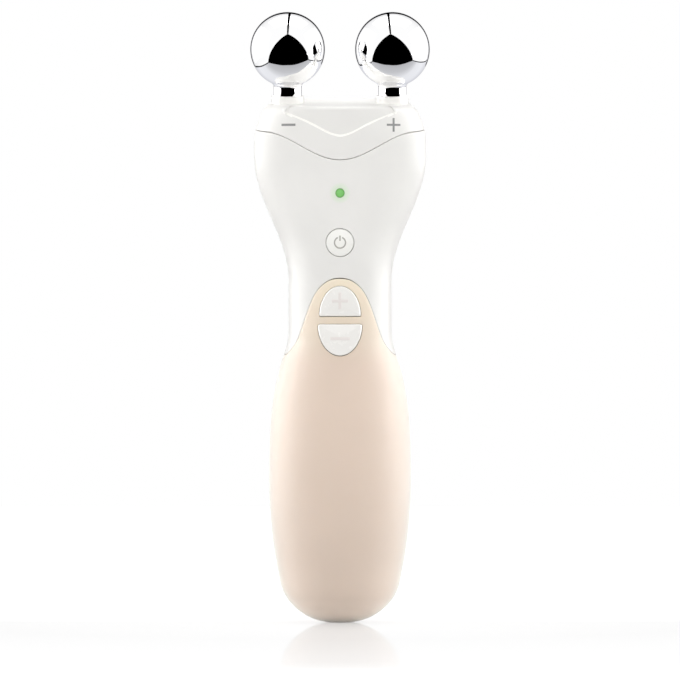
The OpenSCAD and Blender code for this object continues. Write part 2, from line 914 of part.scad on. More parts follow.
module contact_strips() {
    t = 0.3;
    z = top_h - wall / cos(head_lean) - t - 0.1;
    color("goldenrod")
    in_head()
        for (side = [-1, 1]) {
            difference() {
                union() {
                    translate([side * ball_x, 0, z])
                        cylinder(h = t, r = 3.9);
                    translate([min(side * pin_x, side * ball_x), -1, z])
                        cube([ball_x - pin_x, 2, t]);
                    translate([side * pin_x - t / 2, -1, z])
                        cube([t, cup_y + 2, t]);
                    translate([side * pin_x - t / 2, cup_y - 1, plug_low + 0.4])
                        cube([t, 2, z + t - plug_low - 0.4]);
                }
                translate([side * ball_x, 0, z - 1])
                    cylinder(h = 3, r = shank_r + 0.1);
            }
        }
}

module contact_pads() {
    color("gold")
    in_head()
        for (x = [-pin_x, pin_x])
            translate([x, cup_y, plug_low])
                cylinder(h = 0.4, r = 1.5);
}

// Neck that runs from the ball into its stem with a hollow radius
module ball_neck() {
    low = -neck_drop - 0.25;
    arc = [for (i = [0:8]) let (a = 180 - neck_turn * i / 8)
        [stem_r + neck_blend + neck_blend * cos(a), neck_blend * sin(a) - neck_drop]];
    rotate(seam_turn)
        rotate_extrude()
            polygon(concat([[0, low], [stem_r, low]], arc, [[stem_r, arc[8][1] + 2.4], [0, -4]]));
}

module ball() {
    color("silver")
    in_head()
        translate([0, 0, ball_h])
            difference() {
                union() {
                    difference() {
                        sphere(r = ball_r);
                        sphere(r = ball_r - ball_wall);
                    }
                    ball_neck();
                }
                translate([0, 0, -ball_r - 3])
                    cylinder(h = ball_r + 1, r = spigot_r + 0.03);
            }
}

module left_ball() {
    translate([-ball_x, 0, 0])
        ball();
}

module right_ball() {
    translate([ball_x, 0, 0])
        ball();
}

module stem() {
    low = top_h + collar_h;
    high = ball_h - neck_drop - 0.25;
    color("silver")
    in_head()
        union() {
            translate([0, 0, low])
                cylinder(h = high - low, r = stem_r);
            translate([0, 0, high - 0.5])
                cylinder(h = 6.5, r = spigot_r);
            translate([0, 0, base_low + base_t + 0.2])
                cylinder(h = low - base_low - base_t, r = shank_r);
        }
}

module left_stem() {
    translate([-ball_x, 0, 0])
        stem();
}

module right_stem() {
    translate([ball_x, 0, 0])
        stem();
}

module stem_nuts() {
    high = top_h - wall / cos(head_lean) - 0.45;
    color("silver")
    in_head()
        for (x = [-ball_x, ball_x])
            translate([x, 0, high - 2.2])
                difference() {
                    cylinder(h = 2.2, r = 3.9, $fn = 6);
                    translate([0, 0, -1])
                        cylinder(h = 5, r = shank_r + 0.03);
                }
}

module stem_seals() {
    color("dimgray")
    in_head()
        for (x = [-ball_x, ball_x])
            translate([x, 0, top_h + collar_h - 0.6])
                difference() {
                    cylinder(h = 0.6, r = shank_r + 1);
                    translate([0, 0, -1])
                        cylinder(h = 3, r = shank_r + 0.03);
                }
}

// ---- choice of node ----

front_housing();
rear_housing();
front_grip();
rear_grip();
indicator_lens();
status_led();
main_board();
board_chips();
key_switches();
buzzer();
battery_cell();
battery_tabs();
battery_cradle();
battery_leads();
charge_pins();
charge_board();
housing_screws();
socket_deck();
socket_gasket();
spring_pins();
contact_board();
contact_leads();
power_key();
power_plunger();
plus_key();
plus_plunger();
minus_key();
minus_plunger();
head_cap();
head_base();
head_screws();
contact_strips();
contact_pads();
left_ball();
right_ball();
left_stem();
right_stem();
stem_nuts();
stem_seals();
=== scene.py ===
# %% [markdown]
# # A handheld facial toning device
# The device is a waisted handle with a soft grip, three keys and a status light. A head that
# pulls off carries two chromed ball electrodes. The measured frame is loaded first. It fixes
# where everything is and what moves, and each visible piece is then remade around it.

# %% Load the frame
import json
import math

import bpy
import numpy as np
from mathutils import Matrix, Vector


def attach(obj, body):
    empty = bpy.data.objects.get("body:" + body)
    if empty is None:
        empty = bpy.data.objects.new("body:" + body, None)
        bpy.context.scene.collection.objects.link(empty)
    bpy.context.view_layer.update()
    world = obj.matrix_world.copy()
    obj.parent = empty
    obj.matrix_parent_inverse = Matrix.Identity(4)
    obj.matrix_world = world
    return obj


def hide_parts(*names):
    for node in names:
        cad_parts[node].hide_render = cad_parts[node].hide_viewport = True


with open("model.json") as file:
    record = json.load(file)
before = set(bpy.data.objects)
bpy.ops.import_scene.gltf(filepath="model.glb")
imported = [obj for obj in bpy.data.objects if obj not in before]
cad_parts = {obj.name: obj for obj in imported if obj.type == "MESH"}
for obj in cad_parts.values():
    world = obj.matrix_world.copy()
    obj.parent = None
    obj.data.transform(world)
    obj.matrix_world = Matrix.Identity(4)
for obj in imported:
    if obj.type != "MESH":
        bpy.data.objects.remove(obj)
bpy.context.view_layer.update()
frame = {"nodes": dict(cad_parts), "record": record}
MM = 0.001

# %% [markdown]
# The whole body follows one outline, like the master curves a mould maker starts from. A
# point on it is found from three things: the angle round the body, the level up the body,
# and how far it is set in from the surface. It could also be drawn as stacked rings scaled
# by eye, but then the seams between pieces would drift apart. With one formula, every
# neighbour shares the same edge. Sizes here are in millimetres.

# %% The outline of the body
TOP, SECTION, TOP_ROUND, FRONT_ROUND = 149.2, 2.35, 3.0, 0.9
FOOT_ROUND, FOOT_FLAT, FOOT_POWER = 12.0, 0.15, 2.3
LEAN = math.radians(8.5)
LEAN_FROM, LEAN_TO = 97.0, 133.0
WALL, GRIP_T, GRIP_ROOM = 1.8, 1.4, 0.06
# Half widths and half depths, and the levels where the grip is widest and deepest
GRIP_W, WAIST_W, HEAD_FLARE = 20.4, 14.8, 9.9
GRIP_D, NECK_D, HEAD_D = 18, 13.25, 12
WIDEST, DEEPEST, NECK_LEVEL = 41, 44, 92
# How much the foot and the waist draw in from the grip
FOOT_IN_W, FOOT_IN_D, WAIST_IN = 6.3, 4, 5.6


def ease(t):
    return (1 - np.cos(np.pi * np.clip(t, 0, 1))) / 2


def soft_max(a, b, r):
    return (a + b + np.sqrt((a - b) ** 2 + r * r)) / 2


def lean_share(s):
    return np.clip((s - LEAN_FROM) / (LEAN_TO - LEAN_FROM), 0, 1)


def tilt(s):
    return math.tan(LEAN) * lean_share(s)


def centre_y(s):
    bend = lean_share(s) ** 2 * (LEAN_TO - LEAN_FROM) / 2
    return -math.tan(LEAN) * (bend + np.maximum(0, s - LEAN_TO))


def plain_width(s):
    belly = GRIP_W - FOOT_IN_W * (np.maximum(WIDEST - s, 0) / WIDEST) ** 2
    belly = belly - WAIST_IN * (np.maximum(s - WIDEST, 0) / 39.5) ** 2.9
    flare = HEAD_FLARE * ease((s - 98) / 36)
    return soft_max(belly, WAIST_W, 0.6) + flare - 0.4 * soft_max(s - 140.8, 0, 1.5)


def plain_depth(s):
    low = GRIP_D - FOOT_IN_D * (np.maximum(DEEPEST - s, 0) / DEEPEST) ** 2
    neck = GRIP_D + (NECK_D - GRIP_D) * ease((s - DEEPEST) / 48)
    head = NECK_D + (HEAD_D - NECK_D) * ease((s - LEAN_FROM) / 28)
    return np.where(s < DEEPEST, low, np.where(s < NECK_LEVEL, neck, head))


def dome(h):
    """Share of the full size at height h over the ground: the rounded foot."""
    t = np.clip((h + FOOT_FLAT) / FOOT_ROUND, 0.001, 1)
    return (1 - (1 - t) ** FOOT_POWER) ** (1 / FOOT_POWER)


def top_edge(s, inset, round_r=TOP_ROUND):
    r = np.maximum(round_r - inset, 0.6)
    h = np.maximum(s - (TOP - inset - r), 0)
    return r - np.sqrt(np.maximum(r * r - h * h, 0))


def half_width(s, inset=0.0):
    return (plain_width(s) - inset - top_edge(s, inset)) * dome(s - inset)


def half_depth(s, inset=0.0):
    return (plain_depth(s) - inset - top_edge(s, inset, FRONT_ROUND)) * dome(s - inset)


def squarer(c):
    """Turns a sine or cosine into the squarer curve of the section."""
    return np.sign(c) * np.abs(c) ** (2 / SECTION)


def across(u):
    return squarer(np.cos(np.radians(u)))


def along(u):
    c = np.sin(np.radians(u))
    return squarer(np.where(np.abs(c) < 1e-12, 0, c))


def skin(u, s, inset, scale, push=0):
    """Points at angle u (0 right, 90 back, 270 front) and level s, set in by inset."""
    x = half_width(s, inset) * across(u) * scale
    y = (half_depth(s, inset) * along(u) + push) * scale
    return np.stack([x, centre_y(s) + y, s + tilt(s) * y], -1)


def face_y(x, z, inset=0.0, back=False):
    """Where the front, or the back, of the body is at x and z."""
    side = 1 if back else -1
    s = z - side * tilt(z) * plain_depth(z)
    for _ in range(8):
        fall = np.maximum(0, 1 - (np.abs(x) / half_width(s, inset)) ** SECTION)
        y = side * half_depth(s, inset) * fall ** (1 / SECTION)
        s = z - tilt(s) * y
    return centre_y(s) + y


print("height", TOP, "grip", 2 * float(plain_width(41.0)), "waist", 2 * float(plain_width(90.0)))

# %% [markdown]
# Three lines cross the body: the bell-shaped seam under the head, the arch where the soft
# grip ends, and the V-shaped step on the face of the head. Each is a formula too, so that
# both pieces that meet at a line use the same one.

# %% The lines on the body
SEAM_GAP, SEAM_SIDE, SEAM_DROP = 0.18, 141.58, 7.33
ARCH_GAP, ARCH_FOOT, ARCH_RISE = 0.12, 76.9, 22
STEP_LOW, STEP_DEPTH, STEP_LENGTH = 140.77, 0.72, 0.6


def seam(u):
    return SEAM_SIDE - SEAM_DROP * ease(1 - np.abs(across(u)) / 0.88)


def arch(u):
    a = np.abs(across(u))
    return ARCH_FOOT + ARCH_RISE * ease(1 - a**1.7) - 0.6 * np.exp(-(((a - 0.33) / 0.16) ** 2))


def step_level(x):
    """The V: a rounded point, soft shoulders, and ends that turn up."""
    a = np.abs(x)
    level = STEP_LOW + np.sqrt(0.27 * x * x + 2.6) - 1.61
    shoulder = 0.58 * np.exp(-(((a - 9.5) / 5.6) ** 2))
    ends = 3.2 * np.maximum(a - 15.9, 0) ** 2
    return level - 0.02 * np.maximum(a - 5, 0) ** 1.5 + shoulder + ends


def step_in(x, s):
    """How much further back the face lies inside the V."""
    t = np.clip((s - step_level(x)) / STEP_LENGTH, 0, 1)
    return STEP_DEPTH * t * t * (3 - 2 * t)


def set_back(u, s):
    """The step at angle u and level s: only the front has it."""
    x = half_width(np.minimum(s, TOP - TOP_ROUND)) * across(u)
    return np.where(np.sin(np.radians(u)) < -1e-9, step_in(x, s), 0)


def level_at(y, z):
    """The level of a point that is given by y and z."""
    s = z
    for _ in range(8):
        s = z + tilt(s) * (centre_y(s) - y)
    return s


def head_face_y(x, z):
    """Where the front of the head is at x and z, with the step."""
    y = face_y(x, z)
    return y + step_in(x, level_at(y, z))


print("seam", float(seam(270.0)), "to", float(seam(0.0)), "arch", float(arch(270.0)))

# %% [markdown]
# Some helpers come first. Each selects what it works on, as one would click a piece before
# using a tool on it. The report counts the edges that do not join exactly two faces. A closed
# piece has none, and only a closed piece can be cut cleanly.

# %% Helpers: select, edit, cut and check


def pick(*pieces):
    """Selects only these pieces and makes the first one active."""
    bpy.ops.object.select_all(action="DESELECT")
    for ob in pieces:
        ob.select_set(True)
    bpy.context.view_layer.objects.active = pieces[0]


def edit(ob, *steps):
    """Runs edit-mode steps on one object with everything selected."""
    pick(ob)
    bpy.ops.object.mode_set(mode="EDIT")
    bpy.ops.mesh.select_all(action="SELECT")
    for step in steps:
        step()
    bpy.ops.object.mode_set(mode="OBJECT")
    return ob


def joined(*pieces):
    pick(*pieces)
    bpy.ops.object.join()
    return pieces[0]


def merge():
    bpy.ops.mesh.remove_doubles(threshold=1e-6)


def outward():
    bpy.ops.mesh.normals_make_consistent(inside=False)


def no_slivers():
    bpy.ops.mesh.dissolve_degenerate(threshold=2e-6)


def cut(ob, cutter, how="DIFFERENCE"):
    """Applies one Boolean and removes the cutter."""
    pick(ob)
    tool = ob.modifiers.new("cut", "BOOLEAN")
    tool.object, tool.operation, tool.solver = cutter, how, "EXACT"
    bpy.ops.object.modifier_apply(modifier=tool.name)
    bpy.data.objects.remove(cutter)
    return ob


def smooth(ob, degrees=32):
    pick(ob)
    bpy.ops.object.shade_smooth_by_angle(angle=math.radians(degrees))
    return ob


def read_all(items, name):
    """One vector property of many mesh elements, as an array."""
    flat = np.empty(len(items) * 3)
    items.foreach_get(name, flat)
    return flat.reshape(-1, 3)


def loose_edges(ob):
    loops = np.empty(len(ob.data.loops), int)
    ob.data.loops.foreach_get("edge_index", loops)
    return int((np.bincount(loops, minlength=len(ob.data.edges)) != 2).sum())


def report(*pieces):
    for ob in pieces:
        print(f"{ob.name}: {len(ob.data.polygons)} faces, {loose_edges(ob)} loose edges")


print("helpers to select, edit, cut and check are ready")

# %% [markdown]
# Every moulded piece starts as a flat grid whose rows and columns are carried onto the
# outline, like a sheet laid over a former. Scaling a stock shape would not keep the edges on
# the shared lines. A shell is two such sheets whose rims are bridged.

# %% Helpers: sheets laid on the outline


def draped_grid(name, table):
    """Adds a flat grid and carries its points to table[row, column], in millimetres."""
    rows, cols = table.shape[0] - 1, table.shape[1] - 1
    bpy.ops.mesh.primitive_grid_add(x_subdivisions=cols, y_subdivisions=rows, size=1)
    ob = bpy.context.object
    ob.name = ob.data.name = name
    flat = read_all(ob.data.vertices, "co")
    col = np.rint((flat[:, 0] + 0.5) * cols).astype(int)
    row = np.rint((flat[:, 1] + 0.5) * rows).astype(int)
    ob.data.vertices.foreach_set("co", (table[row, col] * MM).ravel())
    ob.data.update()
    return ob


def closed_form(name, table):
    """A closed solid from rings: the first and last rings are single points."""
    return edit(draped_grid(name, table), merge, outward)


def bridge_rims():
    bpy.ops.mesh.select_mode(type="EDGE")
    bpy.ops.mesh.select_all(action="DESELECT")
    bpy.ops.mesh.select_non_manifold(
        extend=False, use_wire=False, use_multi_face=False, use_non_contiguous=False,
        use_verts=False)
    bpy.ops.mesh.bridge_edge_loops()
    bpy.ops.mesh.select_mode(type="VERT")


def walled_form(name, outer, inner):
    """A shell: an outer and an inner sheet whose rims are bridged."""
    out = edit(draped_grid(name, outer), merge)
    ins = edit(draped_grid(name + "_inside", inner), merge, bpy.ops.mesh.flip_normals)
    return edit(joined(out, ins), bridge_rims,
                lambda: bpy.ops.mesh.select_all(action="SELECT"), outward)


print("helpers for sheets are ready")

# %% [markdown]
# A round piece is drawn as half its section and spun, as on a lathe. A stock cylinder has no
# rolled edges, and a section shows every fillet at once.

# %% Helpers: sections that are spun
FILLET_STEPS = 5


def turned(name, profile, place, steps=96):
    """Spins half a section, given as (radius, height) in mm, and puts the piece in place."""
    bpy.ops.mesh.primitive_plane_add(size=0.001)
    ob = bpy.context.object
    ob.name = ob.data.name = name
    start = Vector((profile[0][0], 0, profile[0][1])) * MM

    def trace():
        bpy.ops.mesh.merge(type="CENTER")
        bpy.ops.transform.translate(value=start)
        for a, b in zip(profile, profile[1:]):
            step = Vector((b[0] - a[0], 0, b[1] - a[1])) * MM
            bpy.ops.mesh.extrude_region_move(TRANSFORM_OT_translate={"value": step})
        bpy.ops.mesh.select_all(action="SELECT")
        bpy.ops.mesh.spin(steps=steps, angle=2 * math.pi, center=(0, 0, 0), axis=(0, 0, 1))
        bpy.ops.mesh.select_all(action="SELECT")

    edit(ob, trace, merge, outward)
    ob.data.transform(place)
    return ob


def facing(x, z, back=False):
    """Turns the axis of a spun piece to point through the front, or the back, at x and z."""
    return (Matrix.Translation((x * MM, 0, z * MM))
            @ Matrix.Rotation(math.radians(90 if back else -90), 4, "X"))


def filleted(corners):
    """A section from corners (radius, height, fillet); a fillet of 0 leaves it sharp."""
    path = []
    for k, (r, h, f) in enumerate(corners):
        here = np.array([r, h])
        if not f or k in (0, len(corners) - 1):
            path.append(here)
            continue
        to_prev, to_next = (np.array(corners[k + step][:2]) - here for step in (-1, 1))
        to_prev, to_next = to_prev / np.linalg.norm(to_prev), to_next / np.linalg.norm(to_next)
        half = math.acos(np.clip(to_prev @ to_next, -1, 1)) / 2
        reach = f / math.tan(half)
        middle = (to_prev + to_next) / np.linalg.norm(to_prev + to_next)
        centre = here + middle * f / math.sin(half)
        first, last = here + to_prev * reach - centre, here + to_next * reach - centre
        sweep = math.acos(np.clip(first @ last / f**2, -1, 1))
        for j in range(FILLET_STEPS + 1):
            t = j / FILLET_STEPS
            mixed = (math.sin((1 - t) * sweep) * first + math.sin(t * sweep) * last)
            path.append(centre + mixed / math.sin(sweep))
    return [tuple(p) for p in path]


print("helpers for sections are ready")

# %% [markdown]
# The handle is two mouldings, front and rear, that meet on a fine parting line at the sides.
# Below the arch they are set in so that the soft grip lies flush. The rows crowd together at
# the foot and at the rolled edges, where the form turns fastest.

# %% Rows and columns of the handle pieces
COLS, ROLL = 112, 0.2
PART_DEPTH, PART_WIDTH = 0.1, 0.22
turn = np.radians(np.linspace(0, 90, 6))
span = np.linspace(0, 1, COLS + 1)
half_turn = 180 * (span - 0.75 * np.sin(2 * np.pi * span) / (2 * np.pi))
FRONT_U, REAR_U = 180 + half_turn, half_turn


def crowd(n):
    """Shares from 0 to 1 that lie closer together near 0."""
    return (np.arange(n) / (n - 1)) ** 1.9


def climbing(start, length, shares, inset=0):
    """Rows that climb from start by shares of a length."""
    return [(start + length * t, inset, 1) for t in shares]


def rolled_over(top, roll):
    """Rows of an edge that rolls in towards its top."""
    return [(top - roll + roll * math.sin(a), roll * (1 - math.cos(a)), 1) for a in turn[1:]]


def per_column(value, u):
    return np.broadcast_to(np.asarray(value, float), u.shape)


def laid(u, rows, groove=PART_DEPTH):
    """rows are (level, inset, scale), each a number or one value per column."""
    near_part = np.exp(-((half_depth(np.full(len(u), 60.0)) * along(u)) / PART_WIDTH) ** 2)
    table = []
    for s, inset, scale in rows:
        inset = per_column(inset, u) + groove * near_part
        table.append(skin(u, per_column(s, u), inset, scale))
    return np.array(table)


def housing_half(name, u):
    low, high, sunk = arch(u), seam(u) - SEAM_GAP / 2, GRIP_T
    rows = [(sunk, sunk, k) for k in (0, 0.5)]
    rows += climbing(sunk, low - sunk, crowd(46), sunk) + [(low, ROLL, 1)]
    rows += [(low + ROLL * math.sin(a), ROLL * (1 - math.sin(a)) ** 1.5, 1) for a in turn[1:]]
    rows += climbing(low + ROLL, high - low - 2 * ROLL, np.linspace(0, 1, 60)[1:])
    rows += rolled_over(high, ROLL)
    outer = laid(u, rows)
    deep, floor = GRIP_T + WALL, low + 1.5
    rows = [(deep, deep, k) for k in (0, 0.5)]
    rows += climbing(deep, floor - deep, crowd(36), deep)
    rows += climbing(floor, high - floor, np.linspace(0, 1, 30), WALL)
    return walled_form(name, outer, laid(u, rows, groove=0))


def grip_half(name, u):
    top = arch(u) - ARCH_GAP - 0.12 * np.exp(-((across(u) / 0.3) ** 2))
    under, roll = GRIP_T - GRIP_ROOM, 0.3
    rows = [(0, 0, k) for k in (0, 0.5)]
    rows += climbing(0, top - roll, crowd(110)) + rolled_over(top, roll)
    outer = laid(u, rows)
    rows = [(under, under, k) for k in (0, 0.5)]
    rows += climbing(under, top - under, crowd(50), under)
    return walled_form(name, outer, laid(u, rows, groove=0))


front_shell = housing_half("front_shell", FRONT_U)
rear_shell = housing_half("rear_shell", REAR_U)
soft_front = grip_half("soft_grip_front", FRONT_U)
soft_rear = grip_half("soft_grip_rear", REAR_U)
report(front_shell, rear_shell, soft_front, soft_rear)

# %% [markdown]
# A key, a cutter and a raised sign are all the same thing: a flat outline that is stacked in
# rings, each ring grown or shrunk a little and laid at its own height over the curved face.
# The outline is resampled evenly and its corners are softened by averaging along it.

# %% Outlines laid over the face
OUTLINE_POINTS, FINER = 144, 16


def even_outline(points, corner):
    """Resamples a closed outline evenly and softens corners over the length corner."""
    p = np.array(list(points) + [points[0]], float)
    gap = np.hypot(*np.diff(p, axis=0).T)
    run = np.concatenate([[0], np.cumsum(gap)])
    fine = FINER * OUTLINE_POINTS
    at = np.linspace(0, run[-1], fine, endpoint=False)
    q = np.stack([np.interp(at, run, p[:, 0]), np.interp(at, run, p[:, 1])], -1)
    reach = int(corner / run[-1] * fine / 2)
    if reach:
        q = sum(np.roll(q, k, 0) for k in range(-reach, reach + 1)) / (2 * reach + 1)
    return q[::FINER]


def sideways(d):
    """Unit vectors at right angles to the rows of d."""
    return np.stack([d[:, 1], -d[:, 0]], -1) / np.hypot(d[:, 0], d[:, 1])[:, None]


def grown(outline, by):
    """Moves an outline outwards along its normals."""
    after = np.roll(outline, -1, 0)
    area = (outline[:, 0] * after[:, 1] - outline[:, 1] * after[:, 0]).sum()
    return outline + sideways(after - np.roll(outline, 1, 0)) * by * np.sign(area)


def stacked(name, outline, rings, back=False, head=False):
    """rings are (grow, lift over the face, scale), and a fourth value puts one at that y."""
    hub = outline.mean(0)
    table = []
    for grow, lift, scale, *flat_y in rings:
        q = hub + (grown(outline, grow) - hub) * scale
        x, z = np.concatenate([q, q[:1]]).T
        if flat_y:
            y = np.full(len(x), flat_y[0])
        else:
            y = head_face_y(x, z) if head else face_y(x, z, back=back)
            y = y + (lift if back else -lift)
        table.append(np.stack([x, y, z], -1))
    return closed_form(name, np.array(table))


def opening(outline, gap, roll, depth=0, flat_y=(), back=False):
    """A cutter whose mouth widens by roll, so the edge of the opening is rolled."""
    rings = [(gap, -depth, k, *flat_y) for k in (0, 1)]
    rings += [(gap + roll * (1 - math.cos(a)), -roll + roll * math.sin(a) + 0.001, 1)
              for a in turn]
    rings += [(gap + 2.5 * roll, 0.8, k) for k in (1, 0)]
    return stacked("cutter", outline, rings, back)


def circle(x, z, r, n=96):
    t = np.linspace(0, 2 * np.pi, n, endpoint=False)
    return np.stack([x + r * np.cos(t), z + r * np.sin(t)], -1)


def half_ellipse(z, w, h, corner):
    t = np.linspace(0, math.pi, 60)
    arc = [(w * math.cos(a), z + h * math.sin(a)) for a in t]
    return even_outline(arc, corner)


POWER_Z, LENS_Z, PLUS_Z, MINUS_Z = 108.9, 123.05, 87.98, 85.5
POWER_R, LENS_R = 3.88, 1.3
KEY_GAP, KEY_PROUD, VISIBLE = 0.22, 0.4, 0.08
plus_line = half_ellipse(PLUS_Z, 5.83, 8.42, 0.7)
minus_line = half_ellipse(MINUS_Z, 6.24, -8.8, 1.3)
print("plus key", np.ptp(plus_line, 0).round(2), "minus key", np.ptp(minus_line, 0).round(2))

# %% [markdown]
# The openings: the two shaped keys drop into pockets through the soft grip into the shell,
# the power key and the status light go through the shell, and two charging pins come out low
# on the back. The pockets have a floor, and only the guide stems pass through it.

# %% Cut the openings
STEM_R, STEM_Z = 1.8, {"plus": PLUS_Z + 3.6, "minus": MINUS_Z - 3.5}
PIN_X, PIN_Z, PIN_R = 4.0, 16.0, 1.5
THROUGH_FRONT, THROUGH_BACK = [-8.0], [4.0]
for line in (plus_line, minus_line):
    pocket = line + np.array([0.02, -0.05])
    cut(soft_front, opening(pocket, KEY_GAP, 0.16, depth=GRIP_T + 1))
    cut(front_shell, opening(pocket, KEY_GAP, 0.05, depth=1.65))
bores = [(circle(0, z, STEM_R), 0.08, 0.02) for z in STEM_Z.values()]
bores += [(circle(0, POWER_Z, POWER_R, 128), 0.2, 0.12),
          (circle(0, LENS_Z, LENS_R, 64), 0.04, 0.1)]
for line, gap, roll in bores:
    cut(front_shell, opening(line, gap, roll, flat_y=THROUGH_FRONT))
for side in (-1, 1):
    for shell in (soft_rear, rear_shell):
        line = circle(side * PIN_X, PIN_Z, PIN_R, 64)
        cut(shell, opening(line, 0.05, 0.12, flat_y=THROUGH_BACK, back=True))
for shell in (front_shell, rear_shell, soft_front, soft_rear):
    smooth(shell)
report(front_shell, rear_shell, soft_front, soft_rear)

# %% [markdown]
# The head cap is one moulding all the way round. Its rows follow the V step on the face, so
# the step has a clean edge instead of being smeared across the grid. The rows then crowd
# towards the top, where the form rolls over into a flat plane.

# %% The head cap


def head_table(inset, top, roll):
    u = np.linspace(0, 360, 289)
    low = seam(u) + SEAM_GAP / 2
    x = half_width(np.full(len(u), 144.0)) * across(u)
    mid = np.minimum(step_level(x), top - 0.5)
    after = np.minimum(STEP_LENGTH, (top - mid) * 0.7)
    rows = []
    if roll:
        rows += [(low + roll * (1 - math.sin(a)), roll * (1 - math.cos(a)), 1) for a in turn[:0:-1]]
    rows += climbing(low + roll, mid - low - roll, np.linspace(0, 1, 22))
    rows += climbing(mid, after, np.linspace(0, 1, 9)[1:])
    over = [math.sin(t) for t in np.linspace(0, math.pi / 2, 26)[1:]]
    rows += climbing(mid + after, top - mid - after, over)
    rows += [(top, 0, k) for k in (0.93, 0.8, 0.6, 0.3, 0)]
    table = []
    for s, extra, scale in rows:
        s = per_column(s, u)
        table.append(skin(u, s, inset + extra, scale, set_back(u, s)))
    return np.array(table)


head_shell = walled_form("head_shell", head_table(0, TOP, ROLL), head_table(WALL, TOP - WALL, 0))

TOP_H = (TOP - LEAN_TO) / math.cos(LEAN)
BALL_X, BALL_R, BALL_H = 15.0, 10.75, TOP_H + 15.3
STEM_OUT, SHANK_R, COLLAR_R, COLLAR_TOP = 4.0, 2.5, 4.7, TOP_H + 2.0
head_place = (Matrix.Translation(Vector((0, float(centre_y(LEAN_TO)), LEAN_TO)) * MM)
              @ Matrix.Rotation(LEAN, 4, "X"))


def on_head(x):
    return head_place @ Matrix.Translation((x * MM, 0, 0))


seat, mouth = SHANK_R + 0.1, SHANK_R + 1.05
collar = [(0, TOP_H - 1.2, 0), (COLLAR_R, TOP_H - 1.2, 0), (COLLAR_R, COLLAR_TOP, 0.45),
          (0, COLLAR_TOP, 0)]
bore = [(0, 5), (seat, 5), (seat, COLLAR_TOP - 0.6), (mouth, COLLAR_TOP - 0.6),
        (mouth, COLLAR_TOP + 2), (0, COLLAR_TOP + 2)]
for side in (-1, 1):
    cut(head_shell, turned("collar", filleted(collar), on_head(side * BALL_X)), "UNION")
    cut(head_shell, turned("bore", bore, on_head(side * BALL_X)))
smooth(edit(head_shell, merge))
report(head_shell)

# %% [markdown]
# The electrodes are hollow pressed balls on turned stems, all chromed. A ball could be a
# plain sphere, but the real one runs into its stem with a small radius that catches a ring
# of light. So both are turned from their own sections, with 160 steps because a mirror shows
# every flat.

# %% Balls and stems
BLEND = 1.6
NECK_DROP = math.sqrt((BALL_R + BLEND) ** 2 - (STEM_OUT + BLEND) ** 2)


def ball_section():
    """Out round the hollow radius at the stem, then over the ball."""
    joint = math.atan2(NECK_DROP, STEM_OUT + BLEND)
    low = -NECK_DROP - 0.25
    path = [(0, low), (STEM_OUT, low)]
    for t in np.linspace(0, 1, 13):
        a = math.pi - t * joint
        path.append((STEM_OUT + BLEND + BLEND * math.cos(a), -NECK_DROP + BLEND * math.sin(a)))
    for t in np.linspace(0, 1, 90)[1:-1]:
        a = -joint + t * (math.pi / 2 + joint)
        path.append((BALL_R * math.cos(a), BALL_R * math.sin(a)))
    return path + [(0, BALL_R)]


stem_top = BALL_H - NECK_DROP - 0.26
stem_section = filleted([
    (0, 9.6, 0), (SHANK_R, 9.6, 0.2), (SHANK_R, COLLAR_TOP, 0), (STEM_OUT, COLLAR_TOP, 0.15),
    (STEM_OUT, stem_top, 0), (0, stem_top, 0)])
balls, stems = [], []
for side, word in ((-1, "left"), (1, "right")):
    spot = on_head(side * BALL_X)
    lifted = spot @ Matrix.Translation((0, 0, BALL_H * MM))
    balls.append(smooth(turned(word + "_ball_electrode", ball_section(), lifted, 160), 60))
    stems.append(smooth(turned(word + "_ball_stem", stem_section, spot, 128)))
report(*balls, *stems)

# %% [markdown]
# The two shaped keys are pillowed caps on guide stems. Each cap follows the face of the grip
# and stands a little proud of it, with a rolled edge, so it reads as a separate moulding. A
# flat cap could be extruded, but it would lose the soft light along its rim.

# %% The plus and minus keys
PLUNGER_Y = -7.6


def key_cap(name, line):
    roll, crown = 0.38, 0.3
    rings = [(-0.1, -0.85, 0), (-0.1, -0.85, 1), (VISIBLE + 0.04, -0.75, 1),
             (VISIBLE + 0.04, -0.15, 1), (VISIBLE, -0.1, 1)]
    rings += [(VISIBLE - roll * (1 - math.cos(a)), KEY_PROUD - roll + roll * math.sin(a), 1)
              for a in turn]
    rings += [(VISIBLE - roll, KEY_PROUD + crown * (1 - k**2) ** 1.4, k)
              for k in np.linspace(1, 0, 16)[1:]]
    return stacked(name, line, rings)


def stem_and_ring(z):
    """A key's guide stem, with the ring that holds it under the shell."""
    ring, wide = float(face_y(0.0, z, GRIP_T + WALL)) + 0.6, STEM_R + 0.9
    top = float(face_y(0.0, z)) + 0.4
    section = filleted([
        (0, PLUNGER_Y, 0), (STEM_R, PLUNGER_Y, 0.1), (STEM_R, ring + 0.8, 0),
        (wide, ring + 0.8, 0.1), (wide, ring, 0.1), (STEM_R, ring, 0), (STEM_R, top, 0),
        (0, top, 0)])
    return turned("stem", section, facing(0, z), 48)


keys = {}
for word, line in (("plus", plus_line), ("minus", minus_line)):
    cap = cut(key_cap(word + "_key_cap", line), stem_and_ring(STEM_Z[word]), "UNION")
    keys[word] = smooth(edit(cap, no_slivers))
report(*keys.values())

# %% [markdown]
# The power key is a low dome with a skirt, a flange that keeps it in the shell, and a stem.
# It is turned in one go, which gives the dome and its rolled edge from one section.

# %% The power key
power_face = float(face_y(0.0, POWER_Z, -0.35))
flange = float(face_y(0.0, POWER_Z, WALL)) + 0.6
rise, edge, key_r, stem_r = 0.65, 0.3, POWER_R + VISIBLE, 1.7
dome_r = (key_r**2 + rise**2) / (2 * rise)


def dome_y(r):
    return power_face + dome_r - np.sqrt(dome_r**2 - r**2)


